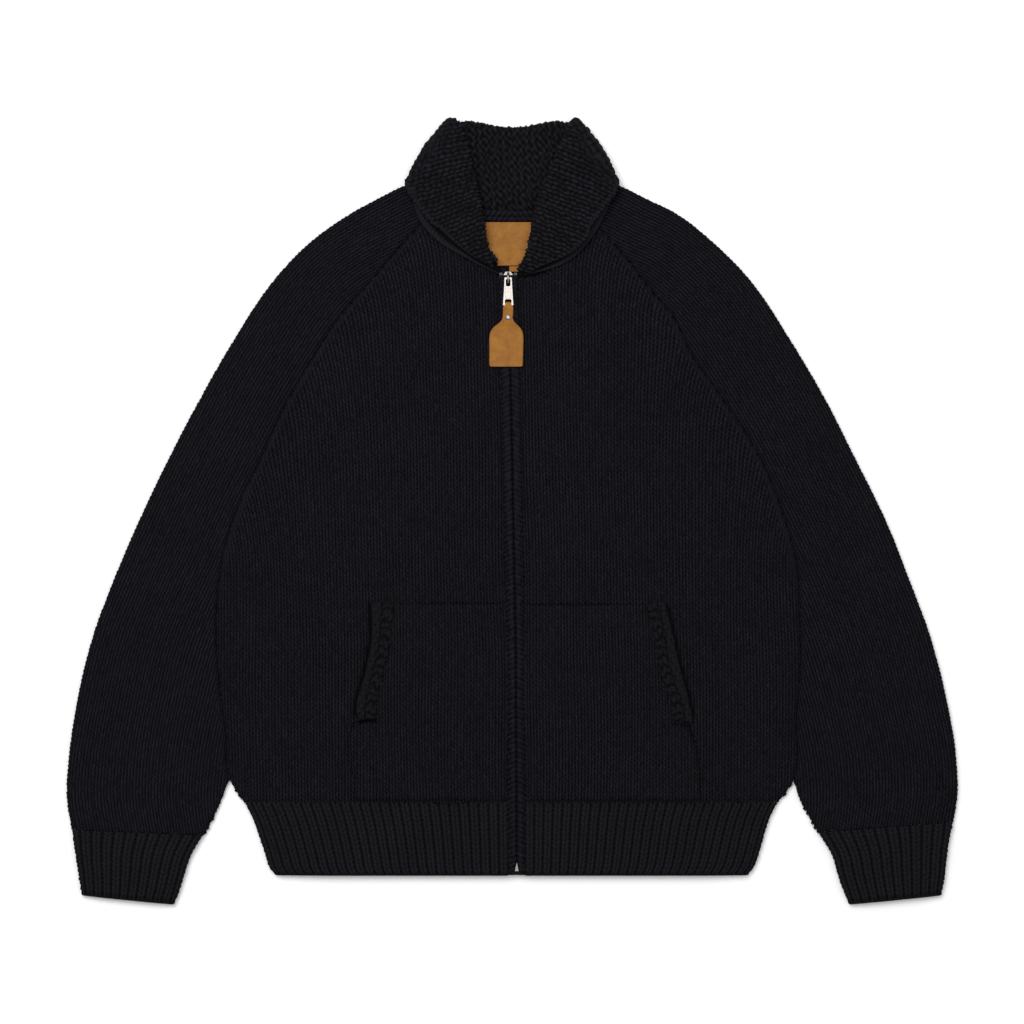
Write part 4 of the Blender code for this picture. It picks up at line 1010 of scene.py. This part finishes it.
def pocket(side):
    """The pocket patch: a second layer whose stitches follow the front's."""
    low, high = HEM_SEAM, POCKET_TOP
    courses = int((high - low) / COURSE) + 2
    u, v, relief = stitches(0, POCKET_WALES, -1, courses, 3, seed_of(side, 121))
    raw = low + v * COURSE
    up = np.clip(raw, low, high)
    edge = pocket_outline(side, up)
    start = hand(side) * zip_x(up) + BESIDE_ZIP
    wide = start + u * WALE + 0.8 * waves(u * WALE, up, 31, 120, 4)
    beyond = wide >= edge
    out = np.minimum(wide, edge)
    body = body_outer(side, up)
    base = front_height(side, out, up, np.maximum(body - out, 0))
    from_side, from_top = edge - out, high - up
    crown = 2.6 + 0.9 * smooth(from_top / 20.0) * smooth((out - start) / 30.0)
    z = base + crown
    at_welt = up > EDGES[side]["welt_seam"][0][1]
    seen = 0.35 if side == "left" else 1.0
    z = z - mix(1.4, 2.6, seen) * fade(from_top, mix(9.0, 4.0, seen))
    z = z - np.where(at_welt, 1.6, 3.6) * fade(from_side, 3.4)
    z = z + 0.8 * bell(from_side - 5.0, 2.6) * (~at_welt)
    z = z - 2.8 * fade(out - start, 4.0) - 3.6 * fade(up - low, 4.5)
    seam_z = mix(FOLD_Z, FLAT_TOP + POCKET_LAYER, 0.70)
    z = np.minimum(z, mix(seam_z, z, smooth((up - low) / 6.0)))
    grid = points_of(side, out, up, z)
    # painted shade: these masks sink the stitches and paint shade into the top groove and along
    # the side seam
    groove = seen * bell(from_top, 2.4) * (1 - 0.7 * smooth((out - start - 60) / 70))
    beside = bell(from_side - 0.3, 1.8) * (~at_welt)
    relief = relief * (1 - 0.8 * groove) * (1 - 0.6 * beside)
    lost = (beyond, raw <= low, raw >= high)
    return stitched(f"knit_pocket_{side}", grid, relief, lost, side == "left", f"pocket_{side}")


def welt(side):
    """The ridged band along the slanted hand opening."""
    lines = EDGES[side]
    low, high = lines["welt_seam"][0][1] - 1.0, POCKET_TOP
    up, across, drop = band(WELT, np.linspace(low, high, 100))
    inner, outer = out_at(lines["welt_seam"], up), out_at(lines["welt_mouth"], up)
    out = inner + (outer - inner) * across
    away = across * (outer - inner)
    base = front_height(side, out, up, np.maximum(body_outer(side, up) - out, 0))
    bent = (up + 1.6 * waves(out, up, 131, 14)) / 9.8
    loop = np.abs((bent + 0.16 * np.sin(away * 0.62)) % 1.0 - 0.5)
    hooks = bell(loop, 0.15) * smooth((away + 0.5) / 1.5) * smooth((13.5 - away) / 2.5)
    picked_up = bell(away - 12.0, 1.2) * (0.6 + 0.4 * np.cos(2 * math.pi * bent))
    rows = 0.24 * np.cos(2 * math.pi * away / 3.3) * (0.6 + 0.4 * np.cos(2 * math.pi * up / 4.8))
    fuzz = 0.20 * waves(out, up, 133, 5)
    relief = np.clip(0.54 + rows + fuzz - 0.60 * hooks - 0.4 * picked_up, 0, 1)
    z = base + WELT_TOP - drop - 1.9 * (1 - relief)
    z = z - 2.2 * fade(high - up, 3.0) - 4.2 * fade(up - low, 3.5)
    grid = points_of(side, out, up, z)
    return banded(f"ridged_welt_{side}", grid, relief, side == "left", WOOL_RIB, "wool_rib",
                  f"pocket_welt_{side}")


PLACKETS = both(placket)
POCKETS = both(pocket)
WELTS = both(welt)


def neck_band():
    """The knitted band over the seam inside the back neck."""
    x = np.linspace(-58, 58, 120)[None, :]
    rise = np.array([-4.2, -4.2, -3.6, -2.2, -0.8, 0.6, 2.0, 3.4, 4.8, 6.0, 6.2])[:, None]
    face = np.array([5.4, 7.0, 7.7, 8.0, 8.2, 8.5, 8.9, 9.4, 9.8, 9.6, 8.2])[:, None]
    x, rise, face = np.broadcast_arrays(x, rise, face)
    slant = 0.5 + 0.5 * np.cos(2 * math.pi * (x + 0.7 * rise * np.sign(x + 0.01)) / 5.6)
    # painted shade: the groove along the seam is sunk and darkened
    groove = bell(rise - 0.6, 0.9)
    relief = np.clip((0.22 + 0.50 * slant) * (1 - 0.6 * groove), 0.05, 1)
    z = face - 1.6 * (1 - relief)
    grid = np.stack([x, back_neck(x) + rise, z], axis=-1)
    return banded("neck_seam_band", grid, relief, False, WOOL_COLLAR, "wool_collar", "neck_band")


def inside_back():
    """The inner face of the back at the neck, seen past the label."""
    x = np.linspace(-96, 96, 160)[None, :]
    up = np.linspace(222, 322, 84)[:, None]
    x, up = np.broadcast_arrays(x, up)
    up = np.minimum(up, back_neck(x))
    relief = ridges(x, up, 4.8, 6.6, 141)
    z = 4.2 - 1.0 * (1 - relief)
    grid = np.stack([x, up, z], axis=-1)
    made = mesh_object("knit_back_inside", grid, grid_faces(*x.shape), WOOL, relief)
    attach(made, "garment")
    return made


NECK_BAND = neck_band()
BACK_INSIDE = inside_back()


# ---------------------------------------------------------------- leather
def leather(name, dark, light):
    """Tan vegetable leather: fine pebbled grain, soft mottling and darker burnished edges."""
    made, tree, shader, place = new_material(name)
    grain = node(tree, "ShaderNodeTexVoronoi", (-1100, -250), feature="SMOOTH_F1")
    grain.inputs["Scale"].default_value = 1500.0
    tree.links.new(place, grain.inputs["Vector"])
    pores = noise(tree, (-1100, -50), place, 700.0, 4.0, 0.6)
    mottle = noise(tree, (-1100, 150), place, 90.0, 3.0, 0.6)
    tone = ramp_between(tree, (-800, 150), mottle, dark, light, 0.32, 0.68)
    fleck = ramp_between(tree, (-800, -50), pores, (0.80, 0.76, 0.70), (1, 1, 1), 0.34, 0.52)
    edge = relief_tone(tree, 400, (0.42, 0.34, 0.28), 0.0, 0.8)
    first = multiplied(tree, (-500, 150), tone, fleck)
    tree.links.new(multiplied(tree, (-300, 200), first, edge), shader.inputs["Base Color"])
    roughened(tree, shader, (-500, -80), pores, 0.50, 0.75)
    shader.inputs["Specular IOR Level"].default_value = 0.3
    bumped(tree, shader, joined(tree, "MULTIPLY", grain.outputs["Distance"], pores), 0.0004, 0.8)
    return made


LEATHER = leather("leather_tan", (0.228, 0.085, 0.0063), (0.322, 0.130, 0.0104))


def slab(name, outline, low, high, node_name):
    """A piece of leather cut to an outline, its top edge rounded and burnished.

    The outline runs round as (x, y); the face is filled with rings towards its middle.
    """
    ring = np.array(outline, float)
    middle = ring.mean(axis=0)
    levels = [(0.0, low, 0.0), (0.0, high - 0.45, 0.0), (0.12, high - 0.18, 0.15),
              (0.35, high - 0.03, 0.55), (0.9, high, 0.95), (2.5, high + 0.02, 1.0)]
    step = np.roll(ring, -1, axis=0) - np.roll(ring, 1, axis=0)
    inward = unit(np.stack([-step[:, 1], step[:, 0]], axis=1))
    rows, shade = [], []
    for inset, z, tone in levels:
        rows.append(np.column_stack([ring + inward * inset, np.full(len(ring), z)]))
        shade.append(np.full(len(ring), tone))
    inner = rows[-1][:, :2]
    for share in (0.25, 0.5, 0.75, 1.0):
        spot = mix(inner, middle, share)
        lift = 0.10 * waves(spot[:, 0], spot[:, 1], 151, 18)
        rows.append(np.column_stack([spot, high + 0.02 + lift * (share < 1)]))
        shade.append(np.ones(len(ring)))
    grid = np.array(rows)
    faces = grid_faces(*grid.shape[:2], ring=True)
    made = mesh_object(name, grid, faces, LEATHER, np.array(shade))
    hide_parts(node_name)
    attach(made, "garment")
    return made


def cut_line(corners, radius, step=1.2):
    """An outline through its corners, counter-clockwise, with rounded corners."""
    found = []
    count = len(corners)
    for k in range(count):
        a, b, c = (np.array(corners[(k + d) % count], float) for d in (-1, 0, 1))
        back = (a - b) / np.linalg.norm(a - b)
        ahead = (c - b) / np.linalg.norm(c - b)
        start, stop = b + back * radius, b + ahead * radius
        for t in np.linspace(0, 1, 5):
            found.append((1 - t) ** 2 * start + 2 * t * (1 - t) * b + t * t * stop)
        nxt = c - ahead * radius
        span = np.linalg.norm(nxt - stop)
        for t in np.linspace(0, 1, int(span / step) + 2)[1:-1]:
            found.append(mix(stop, nxt, t))
    return found


slab("leather_label", cut_line([(-43, 259), (37, 259), (37, 305), (-43, 305)], 1.5),
             4.3, 6.1, "neck_label")
slab("leather_size_tab", cut_line([(-3, 252.6), (16, 252.6), (16, 258.7), (-3, 258.7)],
                                             0.7, 0.8), 4.3, 5.9, "size_tab")

PULL_AXIS = np.array((-4.0, 245.0, 14.7))
PULL_TILT = 3.9  # degrees that the pull slopes down from its axis
TAG_LINE = [  # (y, z, half-width, middle) from the pull's axis: through the slot, back and down
    (-45, -0.2, 4.6, 0), (-30.9, -0.22, 4.6, 0), (-28.9, -0.26, 3.0, 0), (-27.4, -0.22, 2.6, 0),
    (-26.0, 0.55, 2.6, 0), (-25.5, 1.75, 2.6, 0), (-25.8, 3.0, 2.6, 0), (-27.0, 3.75, 2.8, 0),
    (-28.2, 3.95, 3.6, 0), (-30.4, 3.85, 5.3, 0), (-34.5, 2.75, 5.3, -0.2),
    (-37.5, 2.12, 5.3, -0.4), (-42.0, 2.12, 5.5, -0.6), (-45.0, 1.9, 7.0, -0.8),
    (-48.5, 1.3, 10.8, -1.2), (-52.0, 0.7, 14.6, -1.6), (-56.5, 0.1, 17.2, -1.8),
    (-62.5, -0.15, 18.1, -1.9), (-72, -0.2, 18.1, -2.0), (-82, -0.2, 17.9, -2.1),
    (-90, -0.2, 17.7, -2.2), (-91.8, -0.2, 17.4, -2.2), (-92.5, -0.2, 16.4, -2.2),
]


def tag():
    """The leather tag on the zip pull: one strap folded through the pull's slot."""
    line, _ = refined(np.array(TAG_LINE)[:, None, :], 0.9)
    line = line[:, 0]
    way = unit(np.gradient(line[:, :2], axis=0))
    square = np.stack([-way[:, 1], way[:, 0]], axis=1)
    over = np.array([-1, -0.97, -0.9, -0.6, -0.2, 0.2, 0.6, 0.9, 0.97, 1, 1, 1])
    thick = np.array([0.4, 0.75, 0.8, 0.8, 0.8, 0.8, 0.8, 0.8, 0.75, 0.4, 0, 0])
    half = 10
    across = np.concatenate([over[:half], over[:half][::-1]])
    up = np.concatenate([thick[:half], -thick[:half][::-1]])
    shade = np.concatenate([[0, 0.25, 0.9, 1, 1, 1, 1, 0.9, 0.25, 0]] * 2)
    x = line[:, 2][:, None] * across[None, :] + line[:, 3][:, None]
    bend = 0.25 * np.cos(across * math.pi / 2)[None, :] * smooth((line[:, 2][:, None] - 9) / 6)
    ends = smooth((np.arange(len(line)) + 0.6) / 2)[:, None] * smooth((len(line) - np.arange(
        len(line)) - 0.4) / 2)[:, None]
    rise = up[None, :] * (0.35 + 0.65 * ends) + bend
    y = line[:, :1] + square[:, :1] * rise
    z = line[:, 1:2] + square[:, 1:2] * rise
    grid = np.stack([x, y, z], axis=-1) + PULL_AXIS
    tone = np.broadcast_to(shade, x.shape) * (0.25 + 0.75 * ends)
    caps = []
    columns = len(across)
    for row in (0, len(line) - 1):
        base = row * columns
        for j in range(half - 1):
            quad = [base + j, base + j + 1, base + columns - 2 - j, base + columns - 1 - j]
            caps.append(quad if row == 0 else quad[::-1])
    faces = np.concatenate([grid_faces(len(line), columns, ring=True), np.array(caps)])
    made = mesh_object("leather_pull_tag", grid, faces, LEATHER, tone)
    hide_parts("pull_tag")
    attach(made, "pull")
    return made


tag()


# ---------------------------------------------------------------- the zip
def nickel(name, colour, rough):
    """Plated metal: fine brushed scratches and faint dulling."""
    made, tree, shader, place = new_material(name)
    long = node(tree, "ShaderNodeMapping", (-1200, -200))
    long.inputs["Scale"].default_value = (1.0, 0.08, 1.0)
    tree.links.new(place, long.inputs["Vector"])
    scratch = noise(tree, (-950, -200), long.outputs["Vector"], 6000.0, 3.0, 0.7)
    dull = noise(tree, (-950, 100), place, 350.0, 3.0)
    low = tuple(c * 0.86 for c in colour)
    tree.links.new(ramp_between(tree, (-650, 100), dull, low, colour, 0.3, 0.7),
                   shader.inputs["Base Color"])
    roughened(tree, shader, (-650, -150), scratch, rough - 0.07, rough + 0.10)
    shader.inputs["Metallic"].default_value = 1.0
    bumped(tree, shader, scratch, 0.00002, 0.5)
    return made


NICKEL = nickel("nickel", (0.288, 0.260, 0.238), 0.34)
CAST_NICKEL = nickel("cast_nickel", (0.23, 0.222, 0.214), 0.24)
DARK_METAL = nickel("dark_metal", (0.045, 0.038, 0.036), 0.34)
DULL_NICKEL = nickel("dull_nickel", (0.33, 0.32, 0.30), 0.38)

for part, metal in (("zip_slider", CAST_NICKEL), ("zip_stop_left", DARK_METAL),
                    ("zip_stop_right", DARK_METAL), ("zip_box", NICKEL), ("pull_rivet", NICKEL)):
    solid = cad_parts[part]
    solid.data.materials.clear()
    solid.data.materials.append(metal)
    bevel = solid.modifiers.new("worn_edges", "BEVEL")
    bevel.width, bevel.segments, bevel.limit_method = 0.00022, 2, "ANGLE"
    bevel.angle_limit = math.radians(40)
    bevel.harden_normals = False


def plate(name, outlines, thick, low, rounding):
    """A flat plate cut to its first outline, with holes along the others, its edges rounded.

    The outlines and the height of its underside are in the frame of the pull's axis.
    """
    curve = bpy.data.curves.new(name, "CURVE")
    curve.dimensions, curve.fill_mode = "2D", "BOTH"
    curve.extrude, curve.bevel_depth = thick / 2 - rounding, rounding
    curve.bevel_resolution, curve.offset = 2, -rounding
    for outline in outlines:
        line = curve.splines.new("POLY")
        line.points.add(len(outline) - 1)
        for point, (x, y) in zip(line.points, outline):
            point.co = (x, y, 0, 1)
        line.use_cyclic_u = True
    drawn = linked(name, curve)
    graph = bpy.context.evaluated_depsgraph_get()
    mesh = bpy.data.meshes.new_from_object(drawn.evaluated_get(graph))
    bpy.data.objects.remove(drawn)
    points = np.array([v.co for v in mesh.vertices]) + (0, 0, low + thick / 2)
    tilt = math.radians(PULL_TILT)
    turn = np.array([(1, 0, 0), (0, math.cos(tilt), math.sin(tilt)),
                     (0, -math.sin(tilt), math.cos(tilt))])
    points = (points @ turn.T + PULL_AXIS + SHIFT) * 0.001
    mesh.vertices.foreach_set("co", points.ravel())
    mesh.materials.clear()
    mesh.materials.append(NICKEL)
    mesh.update()
    obj = linked(name, mesh)
    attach(obj, "pull")
    return obj


PULL = plate("tapered_pull", [
    cut_line([(-5.7, -28.9), (5.7, -28.9), (4.5, -11), (4.0, 1.2), (-4.0, 1.2), (-4.5, -11)], 0.9),
    cut_line([(-2.2, -8.2), (2.2, -8.2), (2.2, -0.9), (-2.2, -0.9)], 1.3),
    cut_line([(-3.3, -27.0), (3.3, -27.0), (3.3, -22.4), (-3.3, -22.4)], 1.5),
], 1.8, -0.9, 0.28)
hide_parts("zip_pull")
plate("pull_panel", [
    cut_line([(-2.9, -21.0), (2.9, -21.0), (2.6, -10.6), (-2.6, -10.6)], 0.5)], 0.44, 0.72, 0.14)


def bridge():
    """The flattened loop on the slider that holds the pull."""
    steps, sides, half_span, foot, rise = 15, 12, 6.0, 10.4, 2.6
    half_width, half_thick = 1.25, 0.8
    angle = math.pi * np.linspace(0, 1, steps)
    x, y, z = PULL_AXIS
    way = y - half_span * np.cos(angle)
    high = foot + (z + rise - foot) * np.sin(angle) ** 0.6
    round_it = math.tau * np.arange(sides) / sides
    tilt = np.arctan2(np.gradient(high), np.gradient(way))
    side = half_width * np.cos(round_it)[None, :] * np.ones((steps, 1))
    up = half_thick * np.sin(round_it)[None, :] * np.ones((steps, 1))
    grid = np.stack([x + side, way[:, None] - np.sin(tilt)[:, None] * up,
                     high[:, None] + np.cos(tilt)[:, None] * up], axis=-1)
    made = mesh_object("slider_bridge", grid, grid_faces(steps, sides, ring=True), CAST_NICKEL)
    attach(made, "garment")
    return made


bridge()


def teeth():
    """The zip's chain: a row of small crowned teeth on each tape, set into one another."""
    profile = [(-2.9, 0.0), (-0.4, 0.0), (0.75, 0.25), (0.75, 0.85), (-0.4, 1.15), (-2.9, 1.0)]
    levels = [(4.55, 0.0), (5.0, 0.15), (6.4, 0.15), (6.85, 0.0)]
    low, high, pitch = -373.0, 238.0, 3.0
    ring, cap = len(profile), np.array([(0, 1, 4, 5), (1, 2, 3, 4)])
    walls = grid_faces(len(levels), ring, ring=True)
    tooth = np.concatenate([walls, cap[:, ::-1], cap + 3 * ring])
    points, faces = [], []
    for side in (-1, 1):
        for k in range(int((high - low) / pitch)):
            y = low + (k + (0.5 if side > 0 else 0.0)) * pitch
            middle = float(zip_x(y))
            faces.append((tooth if side < 0 else tooth[:, ::-1]) + len(points))
            points += [(middle - side * x, y + (t - 0.55) * (1 + grow) * 1.15, z)
                       for z, grow in levels for x, t in profile]
    made = mesh_object("zip_teeth", points, np.concatenate(faces), DULL_NICKEL)
    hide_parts("zip_chain")
    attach(made, "garment")
    made.data.polygons.foreach_set("use_smooth", np.zeros(len(made.data.polygons), bool))
    return made


def tape(side):
    """A woven zip tape with a fine herringbone relief."""
    low, high, width = -377.0, 247.0, 11.0
    y, across, drop = band(TAPE, np.arange(low, high, 1.0))
    out = hand(side) * zip_x(y) + 3.3 + width * across
    weave = 0.5 + 0.5 * np.cos(2 * math.pi * (y / 2.0 + 2.5 * np.abs(across - 0.5)))
    z = 5.8 - drop - 0.15 * weave
    grid = points_of(side, out, y, z)
    return banded(f"woven_tape_{side}", grid, 1 - 0.5 * weave, side == "left", TAPE_CLOTH,
                  "zip_tape", f"zip_tape_{side}")


TAPE_CLOTH = wool("tape_weave", (0.0050, 0.0050, 0.0060), (0.0100, 0.0100, 0.0115), 0.0)
teeth()
TAPES = both(tape)


def rows_of(line, low=-1e9, high=1e9):
    dense = dense_line(line)
    return [tuple(p) for p in dense if low <= p[1] <= high]


for side in SIDES:
    lines = EDGES[side]
    corner = lines["raglan"][0][1]
    inner = rows_of(lines["sleeve_inner"]) + rows_of(lines["body_side"], FORK, corner)
    inner = inner + rows_of(lines["raglan"])


# ---------------------------------------------------------------- camera, floor and light
PHOTO_SIDE = 1.0752  # metres that the photograph shows: 1024 pixels of 1.05 mm
SCALE_HEIGHT = 0.011  # height in metres at which it shows them, near the cloth's top
LENS, SENSOR = 100.0, 36.0
PAPER = (0.945, 0.945, 0.945, 1)
WORLD_LIGHT = 0.42
LAMPS = [  # name, place from the middle of the photograph in metres, size, power
    ("key", -0.9, 1.3, 3.3, 2.0, 95.0), ("fill", 0.9, -0.2, 3.5, 2.6, 30.0)]


def stage():
    middle = (SHIFT[0] * 0.001, SHIFT[1] * 0.001)
    camera = linked("camera", bpy.data.cameras.new("camera"))
    camera.data.lens, camera.data.sensor_width = LENS, SENSOR
    camera.data.clip_end = 30.0
    camera.location = (*middle, PHOTO_SIDE * LENS / SENSOR + SCALE_HEIGHT)
    bpy.context.scene.camera = camera

    floor_mesh = bpy.data.meshes.new("floor")
    half = 6.0
    corners = [(-half, -half, 0), (half, -half, 0), (half, half, 0), (-half, half, 0)]
    floor_mesh.from_pydata(corners, [], [(0, 1, 2, 3)])
    paper = bpy.data.materials.new("white_paper")
    paper.use_nodes = True
    shader = paper.node_tree.nodes["Principled BSDF"]
    shader.inputs["Base Color"].default_value = PAPER
    shader.inputs["Roughness"].default_value = 0.95
    shader.inputs["Specular IOR Level"].default_value = 0.0
    floor_mesh.materials.append(paper)
    floor = linked("floor", floor_mesh)
    floor.location = (0, 0, -0.0004)

    world = bpy.data.worlds.new("studio")
    bpy.context.scene.world = world
    world.use_nodes = True
    world.node_tree.nodes["Background"].inputs["Color"].default_value = (1, 1, 1, 1)
    world.node_tree.nodes["Background"].inputs["Strength"].default_value = WORLD_LIGHT

    for name, x, y, z, size, power in LAMPS:
        lamp = bpy.data.lights.new(name, "AREA")
        lamp.size, lamp.energy = size, power
        obj = linked(name, lamp)
        obj.location = (middle[0] + x, middle[1] + y, z)
        aim = np.array((-x, -y, -z))
        flat = math.hypot(aim[0], aim[1])
        obj.rotation_euler = (math.atan2(flat, -aim[2]), 0,
                              math.atan2(aim[1], aim[0]) - math.pi / 2)

    view = bpy.context.scene.view_settings
    view.view_transform, view.look, view.exposure, view.gamma = "Standard", "None", 0.0, 1.0


stage()
